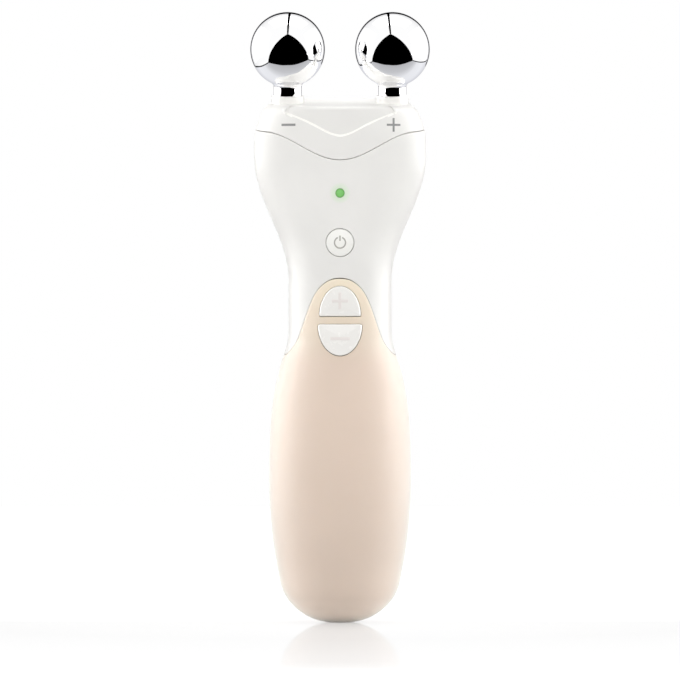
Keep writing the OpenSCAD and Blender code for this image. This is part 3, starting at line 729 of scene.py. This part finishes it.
section = [(0, PLUNGER_Y), (stem_r, PLUNGER_Y), (stem_r, flange + 0.8),
           (key_r + 1.2, flange + 0.8), (key_r + 1.2, flange), (key_r, flange)]
edge_y = float(dome_y(key_r - edge))
section += [(key_r - edge + edge * math.cos(a), edge_y + edge - edge * math.sin(a))
            for a in np.linspace(0, math.pi / 2 - 0.12, 7)]
section += [(r, float(dome_y(r))) for r in np.linspace(key_r - 0.34, 0, 14)]
power_button = smooth(turned("power_key_cap", section, facing(0, POWER_Z), 128))
report(power_button)

# %% [markdown]
# Signs. The plus and minus on the keys are raised with the moulding, the power sign is a
# fine raised line in warm grey, and the two signs on the head are printed: they are only as
# thick as ink.

# %% The signs


def cross(x, z, size, stroke):
    a, b = size / 2, stroke / 2
    pts = [(b, b), (b, a), (-b, a), (-b, b), (-a, b), (-a, -b), (-b, -b), (-b, -a), (b, -a),
           (b, -b), (a, -b), (a, b)]
    return even_outline([(x + p, z + q) for p, q in pts], stroke * 0.12)


def bar(x, z, w, h):
    pts = [(w / 2, -h / 2), (w / 2, h / 2), (-w / 2, h / 2), (-w / 2, -h / 2)]
    return even_outline([(x + p, z + q) for p, q in pts], h * 0.35)


def raised(name, line, foot, top, roll=0.06, head=False):
    rings = [(0, foot, k) for k in (0, 1)]
    rings += [(-roll * (1 - math.cos(a)), top - roll + roll * math.sin(a), 1) for a in turn]
    rings += [(-roll, top, k) for k in (0.75, 0.5, 0.25, 0)]
    return smooth(stacked(name, line, rings, head=head))


PRINT_Z, ON_CAP, INK = 142.5, (0.5, KEY_PROUD + 0.34), (-0.05, 0.02, 0.01, True)
plus_mark = raised("plus_key_sign", cross(0, PLUS_Z + 4.3, 4.7, 0.85), *ON_CAP)
minus_mark = raised("minus_key_sign", bar(0, MINUS_Z - 4, 5.7, 0.85), *ON_CAP)
minus_print = raised("minus_print", bar(-14.7, PRINT_Z, 4.0, 0.66), *INK)
plus_print = raised("plus_print", cross(15.3, PRINT_Z, 3.9, 0.58), *INK)


def on_dome(q, lift):
    """Carries flat points to the dome of the power key, and forward by lift."""
    return np.stack([q[:, 0], dome_y(np.hypot(q[:, 0], q[:, 1])) - lift, q[:, 1] + POWER_Z], -1)


def power_sign():
    """A broken ring with a short bar, a thin round line over the dome of the key."""
    r, half, lift, gap = 1.57, 0.2, 0.07, math.radians(24)
    t = np.linspace(math.pi / 2 + gap, math.pi * 2.5 - gap, 90)
    ring = np.stack([r * np.cos(t), r * np.sin(t)], -1)
    parts = []
    for name, line in (("ring", ring), ("bar", np.array([[0, 0.5], [0, 1.25], [0, 2.0]]))):
        side = sideways(np.gradient(line, axis=0))
        tips = on_dome(line[[0, -1]], 0)
        rows = [on_dome(line + side * half * math.cos(a), lift * math.sin(a))
                for a in np.radians(np.linspace(-30, 330, 17))]
        table = np.array([np.concatenate([tips[:1], row, tips[1:]]) for row in rows])
        parts.append(closed_form("power_sign_" + name, table))
    sign = joined(*parts)
    sign.name = "power_key_sign"
    return smooth(sign, 60)


power_mark = power_sign()
report(plus_mark, minus_mark, minus_print, plus_print, power_mark)

# %% [markdown]
# The status light is a green light pipe that ends flush in the shell with a shallow dome. The
# charging pins are gold-plated and rounded, so that a stand's contacts slide over them.

# %% The light and the charging pins
rim, lens_face = LENS_R - 0.1, float(face_y(0.0, LENS_Z))
section = [(0, -6.4), (LENS_R, -6.4), (LENS_R, lens_face + 0.1), (rim, lens_face + 0.01)]
section += [(r, lens_face - 0.16 * (1 - (r / rim) ** 2)) for r in np.linspace(rim - 0.1, 0, 8)]
light_pipe = smooth(turned("status_light_pipe", section, facing(0, LENS_Z), 64))

pin_face = -float(face_y(PIN_X, PIN_Z, back=True))
section = [(0, -11.2), (PIN_R, -11.2), (PIN_R, pin_face + 0.12)]
section += [(PIN_R * math.cos(a), pin_face + 0.12 - 0.35 * math.sin(a)) for a in turn[1:-1]]
section += [(0, pin_face - 0.23)]
pins = [smooth(turned(word + "_charging_pin", section, facing(side * PIN_X, PIN_Z, True), 64), 40)
        for side, word in ((-1, "left"), (1, "right"))]
report(light_pipe, *pins)

# %% [markdown]
# ## Finishes
# Each finish is built from a few layers on one shader: a base colour with a faint mottle, a
# roughness that varies a little, and a fine bump for the moulded or polished surface. The
# noise is measured on the object in metres, so its grain is the same size on every piece.

# %% Helpers: shader nodes


def feed(node, inputs):
    """Gives each named socket a value, or links it to the output that drives it."""
    for name, value in inputs.items():
        if isinstance(value, bpy.types.NodeSocket):
            node.id_data.links.new(value, node.inputs[name])
        else:
            node.inputs[name].default_value = value
    return node


def added(near, kind, inputs=None, **settings):
    """Adds a shader node to a tree, or to the tree of a given node or socket."""
    node = near.id_data.nodes.new("ShaderNode" + kind)
    for name, value in settings.items():
        setattr(node, name, value)
    return feed(node, inputs or {})


def of_type(tree, kind):
    return next(node for node in tree.nodes if node.type == kind)


def finish_base(name, colour, rough, **sockets):
    """Starts a material and sets the plain values on the shader's own sockets."""
    mat = bpy.data.materials.new(name)
    mat.use_nodes = True
    shader = of_type(mat.node_tree, "BSDF_PRINCIPLED")
    feed(shader, {"Base Color": (*colour, 1), "Roughness": rough})
    feed(shader, {key.replace("_", " "): value for key, value in sockets.items()})
    return mat, shader, added(shader, "TexCoord").outputs["Object"]


def axis(place, name):
    return added(place, "SeparateXYZ", {"Vector": place}).outputs[name]


def distance_from(place, point_mm):
    return added(place, "VectorMath", {0: place, 1: [v * MM for v in point_mm]},
                 operation="DISTANCE").outputs["Value"]


def grain(place, size_mm, detail, rough=0.5):
    """A noise whose lumps are about size_mm across."""
    return added(place, "TexNoise", {"Vector": place, "Scale": 1000 / size_mm,
                                     "Detail": detail, "Roughness": rough}).outputs["Fac"]


def spread_between(value, low, high, start=0.3, end=0.7):
    """Carries start..end of a value to low..high."""
    return added(value, "MapRange", {"Value": value, "From Min": start, "From Max": end,
                                     "To Min": low, "To Max": high}).outputs["Result"]


def ramp_of(value, stops):
    """A ramp through several tones, given as (position, grey level or colour)."""
    ramp = added(value, "ValToRGB", {"Fac": value})
    marks = ramp.color_ramp.elements
    marks.remove(marks[1])
    for k, (at, tone) in enumerate(stops):
        mark = marks.new(at) if k else marks[0]
        mark.position = at
        mark.color = (*tone, 1) if isinstance(tone, tuple) else (tone, tone, tone, 1)
    return ramp.outputs["Color"]


def ramp_over(value, start, end, stops):
    """The same, with positions 0 and 1 at start and end of the value."""
    return ramp_of(spread_between(value, 0, 1, start, end), stops)


def two_tone(value, one, two, start=0.3, end=0.7):
    return ramp_of(value, [(start, one), (end, two)])


def multiplied(one, two):
    return added(one, "Mix", {0: 1, 6: one, 7: two}, data_type="RGBA",
                 blend_type="MULTIPLY").outputs[2]


def bump(shader, value, depth_mm, strength=1.0, **below):
    """Raises the surface by a value. Normal=... lays it on top of another bump."""
    inputs = {"Height": value, "Distance": depth_mm * MM, "Strength": strength, **below}
    normal = added(shader, "Bump", inputs).outputs["Normal"]
    feed(shader, {"Normal": normal})
    return normal


print("helpers for shader nodes are ready")

# %% [markdown]
# Most finishes here have the same three layers, so they are written once: two near tones
# that drift into each other, a gloss that wanders, and a fine texture. One flat colour with
# one roughness would be shorter, but it looks like paint on paper.

# %% Helpers: layered finishes


def shade(colour, factor):
    return tuple(min(1, c * factor) for c in colour)


def layered(name, colour, rough, cloud, gloss, texture, **sockets):
    """cloud and gloss are (size, detail, low, high), texture is (size, detail, depth)."""
    mat, shader, place = finish_base(name, colour, rough, **sockets)
    size, detail, low, high = cloud
    tones = two_tone(grain(place, size, detail), shade(colour, low), shade(colour, high))
    size, detail, low, high = gloss
    polish = spread_between(grain(place, size, detail), rough * low, rough * high)
    feed(shader, {"Base Color": tones, "Roughness": polish})
    size, detail, depth_mm = texture
    bump(shader, grain(place, size, detail), depth_mm)
    return mat


def moulded(name, colour, rough, grain_mm=0.25, depth_mm=0.002, mottle=0.015, **sockets):
    """Moulded plastic: faint mottle, uneven gloss and a fine spark-eroded texture."""
    return layered(name, colour, rough, (9.0, 3, 1 - mottle, 1 + mottle), (1.4, 3, 0.92, 1.08),
                   (grain_mm, 2, depth_mm), **sockets)


def plated(name, colour, rough):
    return layered(name, colour, rough, (2.5, 4, 0.9, 1.06), (0.8, 4, 0.7, 1.35), (0.3, 3, 0.002),
                   Metallic=1.0)


def tinted(mat, factor):
    """Multiplies the base colour of a finished material by a tone made with its own nodes."""
    place = of_type(mat.node_tree, "TEX_COORD").outputs["Object"]
    shader = of_type(mat.node_tree, "BSDF_PRINCIPLED")
    plain = shader.inputs["Base Color"].links[0].from_socket
    feed(shader, {"Base Color": multiplied(plain, factor(place))})
    return mat


print("helpers for finishes are ready")

# %% [markdown]
# The shells are satin white ABS and the keys the same plastic, polished. The grip is a
# soft-touch elastomer: almost no gloss, but its velvety skin turns pale at grazing angles.
# That is what sheen does, and a plain rough plastic would stay flat and dark at the edges.

# %% Shell, key and grip finishes
# The last of these is a paler cream, painted light for the top of the grip by the arch.
WHITE, CREAM, PAINTED_LIT_CREAM = (0.80, 0.79, 0.765), (0.68, 0.55, 0.455), (0.86, 0.76, 0.60)
LIGHT_AT = (0, float(face_y(0.0, LENS_Z)), LENS_Z)


def green_spill(place):
    """The faint green that the status light throws on the shell around it."""
    return ramp_over(distance_from(place, LIGHT_AT), 0.0012, 0.0031, [
        (0, (0.86, 0.99, 0.83)), (0.4, (0.89, 1.0, 0.87)), (1, (1, 1, 1))])


def painted_shade_at_waist(place):
    """Painted shade: the white is a touch darker round the waist."""
    return ramp_over(axis(place, "Z"), 0.07, 0.13, [(0, 0.94), (0.5, 0.94), (0.9, 1.0)])


shell_white = moulded("satin_white_shell", WHITE, 0.42, Specular_IOR_Level=0.2)
# Painted light and shade on the white: the green the status light throws round it, and a darker
# waist.
shell_white = tinted(tinted(shell_white, green_spill), painted_shade_at_waist)
key_white = moulded("polished_white_key", (0.83, 0.815, 0.785), 0.26, 0.5, 0.001, 0.01,
                    Coat_Weight=0.25, Coat_Roughness=0.12)
# A lighter copy of the key white with its own gloss: painted light for the light that the dome of
# the power key catches.
painted_light_power_key = moulded("power_key_painted_light_finish", (0.87, 0.865, 0.83), 0.3, 0.5, 0.001, 0.01)
# A dull brown for the sunk faces under the grip: painted shade that darkens the fine gap along the
# arch.
arch_gap_painted_shade = moulded("painted_shade_under_grip", (0.33, 0.26, 0.2), 0.6, 0.4, 0.004, 0.06)
# Brighter, slightly glossier copies of the shell white for the V step and the flat top: painted
# highlight and painted light, with some real gloss.
painted_light_top = moulded("flat_top_painted_light", (0.865, 0.855, 0.825), 0.3, 0.4, 0.001, 0.008)
painted_highlight_step = moulded("v_step_painted_highlight", (0.93, 0.92, 0.88), 0.3, 0.5, 0.001, 0.008)
sign_warm = moulded("raised_sign_warm_white", (0.76, 0.715, 0.69), 0.4, 0.3, 0.001)


def soft_grip():
    mat, shader, place = finish_base(
        "soft_touch_grip", CREAM, 0.62, Sheen_Weight=0.7, Sheen_Roughness=0.42,
        Sheen_Tint=(0.86, 1.0, 1.0, 1), Specular_IOR_Level=0.7, Subsurface_Weight=0.08,
        Subsurface_Radius=(0.004, 0.0025, 0.0015), Subsurface_Scale=0.3)
    # Painted light and shade by height: lighter at the very foot where the table bounces light,
    # darker just above it, and paler towards the arch where the rolled edge catches light.
    stops = [(0, 1.2), (0.02, 1.08), (0.045, 0.9), (0.07, 0.815), (0.18, 0.85), (0.38, 0.975),
             (0.5, 1.01), (0.62, 1.03), (0.74, 1.035)]
    stops = [(at, shade(CREAM, k)) for at, k in stops]
    stops += [(0.82, (0.705, 0.595, 0.48)), (0.9, (0.79, 0.675, 0.535)), (0.99, PAINTED_LIT_CREAM)]
    painted_light_by_height = ramp_over(axis(place, "Z"), 0, 0.1, stops)
    mottle = two_tone(grain(place, 14, 3), (0.975,) * 3, (1, 1, 1))
    feed(shader, {"Base Color": multiplied(painted_light_by_height, mottle),
                  "Roughness": spread_between(grain(place, 2.2, 4), 0.58, 0.68)})
    fine = bump(shader, grain(place, 0.12, 3, 0.6), 0.004)
    bump(shader, grain(place, 0.6, 2), 0.003, Normal=fine)
    return mat


grip_cream = soft_grip()
print(shell_white.name, key_white.name, grip_cream.name)

# %% [markdown]
# The balls are polished chrome: a mirror with very fine hairlines and a trace of handling
# haze. A perfectly smooth metal would look computed, so the roughness wanders slightly and a
# stretched noise adds polishing lines too fine to see one by one.

# %% Chrome, print, lens and contact finishes


def polished_chrome():
    mat, shader, place = finish_base("polished_chrome", (0.99, 0.99, 0.995), 0.03,
                                     Metallic=1.0, Specular_Tint=(0.7, 0.7, 0.72, 1))
    haze = grain(place, 5, 5, 0.6)
    feed(shader, {"Roughness": spread_between(haze, 0.018, 0.05, 0.35, 0.75)})
    lines = added(place, "Mapping", {"Vector": place, "Scale": (1, 1, 14)}).outputs["Vector"]
    bump(shader, grain(lines, 1.5, 3), 0.0004, 0.08)
    return mat


def green_lens():
    mat, shader, place = finish_base(
        "green_light_pipe", (0.15, 0.40, 0.11), 0.22, Coat_Weight=0.6, Coat_Roughness=0.05,
        Emission_Color=(0.25, 0.7, 0.17, 1), Emission_Strength=0.22)
    rings = ramp_over(distance_from(place, LIGHT_AT), 0, 0.0014, [
        (0, (0.19, 0.48, 0.15)), (0.55, (0.17, 0.45, 0.13)), (0.85, (0.11, 0.27, 0.085))])
    cloud = two_tone(grain(place, 0.9, 2), (0.92,) * 3, (1, 1, 1))
    feed(shader, {"Base Color": multiplied(rings, cloud)})
    bump(shader, grain(place, 0.4, 2), 0.002)
    return mat


chrome = polished_chrome()
lens_green = green_lens()
gold = plated("gold_plating", (0.83, 0.58, 0.23), 0.22)
steel = plated("zinc_plated_steel", (0.56, 0.56, 0.57), 0.32)
print_grey = moulded("grey_print_ink", (0.255, 0.255, 0.25), 0.5, 0.15, 0.002, 0.05)
sign_grey = moulded("warm_grey_sign", (0.40, 0.385, 0.35), 0.45, 0.2, 0.001, 0.03)
print(chrome.name, lens_green.name, gold.name, steel.name, print_grey.name)

# %% [markdown]
# The pieces inside keep their measured shapes and get their own finishes. A circuit board is
# green lacquer over copper tracks: the tracks show as slightly raised, lighter lines. They
# come from a cell pattern measured along the axes, whose edges run straight and turn at right
# angles on a board of any size.

# %% Finishes for the pieces inside


def board_finish():
    green = (0.018, 0.13, 0.05)
    mat, shader, place = finish_base("solder_mask_board", green, 0.3, Coat_Weight=0.4,
                                     Coat_Roughness=0.15)
    cells = added(place, "TexVoronoi", {"Vector": place, "Scale": 520}, distance="MANHATTAN",
                  feature="F2").outputs["Distance"]
    line = spread_between(cells, 0, 1, 0.78, 0.84)
    feed(shader, {"Base Color": two_tone(line, green, (0.05, 0.25, 0.10), 0.4, 0.6)})
    bump(shader, line, 0.03)
    return mat


def wrap_finish():
    blue = (0.02, 0.09, 0.32)
    mat, shader, place = finish_base("cell_shrink_film", blue, 0.22, Coat_Weight=0.5,
                                     Coat_Roughness=0.08)
    tones = two_tone(grain(place, 6, 3), shade(blue, 0.85), shade(blue, 1.2))
    feed(shader, {"Base Color": tones})
    bump(shader, grain(place, 1.2, 4, 0.6), 0.02)
    return mat


by_slot = {
    "shell_white": shell_white,
    "key_white": key_white,
    "grip_cream": grip_cream,
    "chrome": chrome,
    "lens_green": lens_green,
    "board_green": board_finish(),
    "chip_black": moulded("black_chip_epoxy", (0.018, 0.018, 0.02), 0.5, 0.12, 0.004, 0.2),
    "steel": steel,
    "gold": gold,
    "seal_grey": moulded("grey_silicone_seal", (0.06, 0.06, 0.065), 0.6, 0.3, 0.004, 0.08,
                         Sheen_Weight=0.2),
    "inner_plastic": moulded("natural_inner_plastic", (0.62, 0.61, 0.58), 0.5, 0.4, 0.006, 0.03),
    "cell_wrap": wrap_finish(),
    "lead_red": moulded("red_lead_insulation", (0.42, 0.025, 0.02), 0.4, 0.5, 0.004, 0.08),
}
slot_of = {s["node"]: s["material_slot"] for s in frame["record"]["subparts"]}
for name, node in frame["nodes"].items():
    node.data.materials.clear()
    node.data.materials.append(by_slot[slot_of[name]])
print(len(by_slot), "finishes on", len(frame["nodes"]), "measured pieces")

# %% [markdown]
# Each new piece gets its finish, rides the body it belongs to, and hides the measured piece it
# stands for. A sign or a print that has no measured piece of its own just rides along.

# %% Finish, ride and replace
pieces = [
    (front_shell, shell_white, "shell_white", "handle", "front_housing"),
    (rear_shell, shell_white, "shell_white", "handle", "rear_housing"),
    (soft_front, grip_cream, "grip_cream", "handle", "front_grip"),
    (soft_rear, grip_cream, "grip_cream", "handle", "rear_grip"),
    (head_shell, shell_white, "shell_white", "head", "head_cap"),
    (balls[0], chrome, "chrome", "head", "left_ball"),
    (balls[1], chrome, "chrome", "head", "right_ball"),
    (stems[0], chrome, "chrome", "head", "left_stem"),
    (stems[1], chrome, "chrome", "head", "right_stem"),
    (keys["plus"], key_white, "key_white", "plus", "plus_key"),
    (keys["minus"], key_white, "key_white", "minus", "minus_key"),
    (power_button, painted_light_power_key, "key_white", "power", "power_key"),
    (plus_mark, sign_warm, "key_white", "plus"),
    (minus_mark, sign_warm, "key_white", "minus"),
    (power_mark, sign_grey, "key_white", "power"),
    (minus_print, print_grey, "shell_white", "head"),
    (plus_print, print_grey, "shell_white", "head"),
    (light_pipe, lens_green, "lens_green", "handle", "indicator_lens"),
    (pins[0], gold, "gold", "handle", "charge_pins"),
    (pins[1], gold, "gold", "handle", "charge_pins"),
]
for ob, finish, slot, body, *nodes in pieces:
    ob.data.materials.clear()
    ob.data.materials.append(finish)
    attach(ob, body)
    if nodes:
        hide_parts(*nodes)
print(len(pieces), "new pieces")

# %% [markdown]
# Some faces of a moulding have a finish of their own. The V step and the flat top of the head
# are a little glossier, and their white is painted brighter: painted highlight and painted
# light. Under the soft grip the housing is painted a dull brown, a painted shade that darkens
# the fine gap along the arch. The faces are picked by where they lie, as one would select them by
# hand.

# %% Second finishes on some faces


def painted_highlight_faces(ob):
    """Which faces are on the V step, and which on the flat top: the faces with painted light."""
    x, y, z = read_all(ob.data.polygons, "center").T / MM
    s = level_at(y, z)
    above = s - step_level(x)
    on_face = (y < centre_y(s) - 6) & (np.abs(x) < 17.5) & (s < TOP - 1)
    return on_face & (above > 0.04) & (above < STEP_LENGTH), s > TOP - 0.15


def under_grip(ob):
    """Which outer faces of a housing lie sunk under the soft grip."""
    x, y, z = read_all(ob.data.polygons, "center").T / MM
    nx, ny, _ = read_all(ob.data.polygons, "normal").T
    reach = (np.abs(x) / half_width(z, 0.5)) ** SECTION
    reach = reach + (np.abs(y - centre_y(z)) / half_depth(z, 0.5)) ** SECTION
    return (z < 99) & (reach < 1) & (nx * x + ny * y > 0)


def refinish(ob, finishes, index):
    for finish in finishes:
        ob.data.materials.append(finish)
    ob.data.polygons.foreach_set("material_index", index.astype(int))
    print(ob.name, "faces with each finish:", np.bincount(index.astype(int)))


# The sunk faces under the grip get the brown painted shade.
for ob in (front_shell, rear_shell):
    refinish(ob, [arch_gap_painted_shade], under_grip(ob))
on_step, on_top = painted_highlight_faces(head_shell)
# The V step and the flat top get the brighter whites, painted highlight and painted light.
refinish(head_shell, [painted_highlight_step, painted_light_top], on_step + 2 * on_top)

# %% [markdown]
# ## Studio
# Chrome shows nothing but its surroundings, so the studio is half of its finish. The usual
# set-up is a white tent: two white walls that lean together over the object, open in front.
# The bright surroundings come from the world. The dark things a mirror needs are cards that
# only reflections see: the opening, the ridge where the walls meet, and their lower edges.

# %% Cards round the object


def bare_tree(owner):
    owner.use_nodes = True
    owner.node_tree.nodes.clear()
    return owner.node_tree


def glow(name, colour, strength):
    mat = bpy.data.materials.new(name)
    tree = bare_tree(mat)
    lamp = added(tree, "Emission", {"Color": (*colour, 1), "Strength": strength})
    added(tree, "OutputMaterial", {"Surface": lamp.outputs[0]})
    return mat


def placed(name, data):
    ob = bpy.data.objects.new(name, data)
    bpy.context.scene.collection.objects.link(ob)
    return ob


def flat_sheet(name, corners, faces, finish):
    mesh = bpy.data.meshes.new(name)
    mesh.from_pydata([Vector(c) * MM for c in corners], [], faces)
    mesh.materials.append(finish)
    ob = placed(name, mesh)
    return ob


def card(name, corners, faces, finish):
    """A sheet that only reflections see."""
    ob = flat_sheet(name, corners, faces, finish)
    ob.visible_camera = ob.visible_diffuse = False
    ob.visible_shadow = ob.visible_transmission = ob.visible_volume_scatter = False


FRONT_EDGE = [(-239, -69), (-185, -97), (-130, -116), (-19, -133), (120, -126), (200, -114),
              (297, -85)]
LEFT_FOOT = [(-239, -69), (-262, 77), (-310, 294), (-395, 900)]
RIGHT_FOOT = [(297, -85), (419, 257), (620, 900)]
# The ridge where the walls meet: y, x and half width of three points, and its height
RIDGE, RIDGE_Z = [(-205, -12, 10), (0, -8, 8), (330, -4, 6)], 364
BACK_Y, BACK_FROM = 900, 1.12

black = glow("card_black", (0, 0, 0), 0)
tip = (RIDGE[0][1], RIDGE[0][0], RIDGE_Z)
card("tent_front_opening", [(x, y, 9) for x, y in FRONT_EDGE] + [tip],
     [(k, k + 1, len(FRONT_EDGE)) for k in range(len(FRONT_EDGE) - 1)], black)
ring = []
for a in np.linspace(BACK_FROM, 2 * math.pi - BACK_FROM, 33):
    for r in (300, 520 + 220 * max(0, -math.cos(a)) ** 2):
        ring.append((r * math.sin(a), BACK_Y, max(2, 195 - r * math.cos(a))))
card("tent_back_opening", ring, [(k, k + 1, k + 3, k + 2) for k in range(0, 64, 2)], black)
card("tent_ridge", [(x + side * w, y, RIDGE_Z) for y, x, w in RIDGE for side in (-1, 1)],
     [(0, 1, 3, 2), (2, 3, 5, 4)], black)
for foot in (LEFT_FOOT, RIGHT_FOOT):
    wall = [(x, y, z) for x, y in foot for z in (-1, 12 + max(0, y) * 0.02)]
    card("tent_foot", wall, [(k, k + 2, k + 3, k + 1) for k in range(0, len(wall) - 2, 2)], black)

floor_glow = glow("reflected_floor", (0.95, 0.96, 1.0), 0.6)
tree = floor_glow.node_tree
place = added(tree, "TexCoord").outputs["Object"]
forward = ramp_over(axis(place, "Y"), -0.15, 0.2, [
    (0, 0.46), (0.29, 0.58), (0.43, 0.74), (0.51, 0.85), (1, 0.96)])
feed(of_type(tree, "EMISSION"), {"Strength": forward})
outline = [(x * 1.12, y * 1.12, -0.5) for x, y in FRONT_EDGE]
outline += [(x, y, -0.5) for x, y in RIGHT_FOOT[1:] + LEFT_FOOT[:0:-1]]
card("tent_floor", outline, [tuple(range(len(outline)))], floor_glow)
side_glow = glow("side_panel_white", (1, 1, 1), 8.0)
for x in (-600, 600):
    corners = [(x, y, z) for y, z in ((-300, 0), (450, 0), (450, 700), (-300, 700))]
    card("tent_side_panel", corners, [(0, 1, 2, 3)], side_glow)

# %% [markdown]
# The table is white acrylic: a matt white under a mirror that fades towards the front. The
# eye sees it lit like the walls, so that it runs into the background without a line. Soft
# bounce reaches the foot from both sides, and the grip glows there as it does on a real table.

# %% The table


def maths(operation, *values):
    node = added(values[-1], "Math", dict(enumerate(values)), operation=operation)
    return node.outputs[0]


def table_finish():
    mat = bpy.data.materials.new("white_acrylic_table")
    tree = bare_tree(mat)
    place = added(tree, "TexCoord").outputs["Object"]
    x, y = axis(place, "X"), axis(place, "Y")
    away = added(tree, "VectorMath", {0: place}, operation="LENGTH").outputs["Value"]
    ray = added(tree, "LightPath").outputs
    lit_white = ramp_over(away, 0, 0.5, [
        (0.04, 0.68), (0.1, 0.65), (0.22, 0.61), (0.5, 0.65), (0.9, 0.9)])
    seen = maths("ADD", lit_white, spread_between(y, 0, 0.35, 0, 0.08))
    beside = ramp_over(x, -0.08, 0.08, [
        (0.17, 0), (0.28, 1), (0.38, 1), (0.44, 0), (0.56, 0), (0.62, 1), (0.72, 1), (0.83, 0)])
    in_depth = ramp_over(y, -0.06, 0.06, [(0, 0), (0.25, 1.6), (0.75, 1.6), (1, 0)])
    near_foot = spread_between(away, 0.16, 0.0, 0.015, 0.06)
    bounce = maths("MULTIPLY_ADD", beside, in_depth, near_foot)
    lit = maths("ADD", maths("MULTIPLY", ray["Is Camera Ray"], seen),
                maths("MULTIPLY", ray["Is Diffuse Ray"], bounce))
    forward = ramp_over(y, -0.3, 0.2, [
        (0.03, 0), (0.078, 0.13), (0.132, 0.21), (0.348, 0.29), (0.498, 0.35), (0.588, 0.43)])
    sideways_on = ramp_over(x, -0.2, 0.2, [(0.25, 0), (0.39, 1), (0.61, 1), (0.75, 0)])
    unseen = maths("SUBTRACT", 1, ray["Is Camera Ray"])
    mirror = maths("MULTIPLY", forward, maths("MAXIMUM", unseen, sideways_on))
    matt = added(tree, "BsdfDiffuse", {"Color": (0.30, 0.30, 0.30, 1)}).outputs[0]
    glowing = added(tree, "Emission", {"Strength": lit}).outputs[0]
    gloss = added(tree, "BsdfGlossy", {"Roughness": 0.025, "Color": (1, 1, 1, 1)}).outputs[0]
    under = added(tree, "AddShader", {0: matt, 1: glowing}).outputs[0]
    surface = added(tree, "MixShader", {"Fac": mirror, 1: under, 2: gloss}).outputs[0]
    added(tree, "OutputMaterial", {"Surface": surface})
    return mat


far = 1300
table = flat_sheet("table_top", [(-far, -far, 0), (far, -far, 0), (far, far, 0), (-far, far, 0)],
                   [(0, 1, 2, 3)], table_finish())
table.visible_glossy = False
print(table.name, "is", 2 * far, "mm wide")

# %% [markdown]
# The white surroundings are the world. The eye and the mirrors see it at full strength, but
# it lights matt surfaces less, so that the lamps can give the white body its form. A lamp
# could stand in for it, but chrome would mirror that lamp's edges.

# %% The world
AMBIENT = 0.58
world = bpy.data.worlds.new("white_surroundings")
bpy.context.scene.world = world
tree = bare_tree(world)
ray = added(tree, "LightPath").outputs
seen = maths("MAXIMUM", ray["Is Camera Ray"], ray["Is Glossy Ray"])
seen = maths("MAXIMUM", seen, ray["Is Transmission Ray"])
sky = added(tree, "Background", {"Color": (1, 1, 1, 1),
                                 "Strength": spread_between(seen, AMBIENT, 1.0, 0, 1)})
added(tree, "OutputWorld", {"Surface": sky.outputs[0]})
print(world.name, "lights matt surfaces at", AMBIENT)

# %% [markdown]
# The walls of the tent are two large soft lamps, left and right. They reach round the sides
# and leave the front a shade darker, which is what gives a white object its form on white.
# A weaker lamp in front keeps the face from going grey.

# %% Lamps and camera


def soft_lamp(name, at, aim, width, height, power):
    lamp = bpy.data.lights.new(name, "AREA")
    lamp.shape, lamp.size, lamp.size_y, lamp.energy = "RECTANGLE", width, height, power
    ob = placed(name, lamp)
    ob.location = at
    ob.rotation_euler = (Vector(aim) - Vector(at)).to_track_quat("-Z", "Y").to_euler()
    ob.visible_camera = False
    return ob


for side in (-1, 1):
    soft_lamp("wall_lamp", (side * 0.6, 0.22, 0.25), (0, 0, 0.09), 0.7, 0.6, 0.7)
soft_lamp("top_lamp", (0, 0.1, 0.75), (0, 0, 0.15), 0.8, 0.5, 2.4)
front_lamp = soft_lamp("front_lamp", (0, -1.1, 0.6), (0, 0, 0.09), 0.9, 0.6, 7.8)
front_lamp.visible_glossy = False

CAMERA_BACK, FRAME_WIDE, AIM_Z = 1.9, 0.1955, 0.0811
eye = bpy.data.cameras.new("eye")
eye.sensor_width = 36
eye.lens = 36 * CAMERA_BACK / FRAME_WIDE
eye.clip_end = 20
camera = placed("eye", eye)
camera.location = (0, -CAMERA_BACK, AIM_Z)
camera.rotation_euler = (math.pi / 2, 0, 0)
bpy.context.scene.camera = camera
bpy.context.scene.view_settings.view_transform = "Standard"
print("lens", round(eye.lens), "mm from", CAMERA_BACK, "m")

# %% [markdown]
# Last, a helper that turns a box into plain numbers.

# %% Sizes


def plain(box):
    return [[float(v) for v in corner] for corner in box]
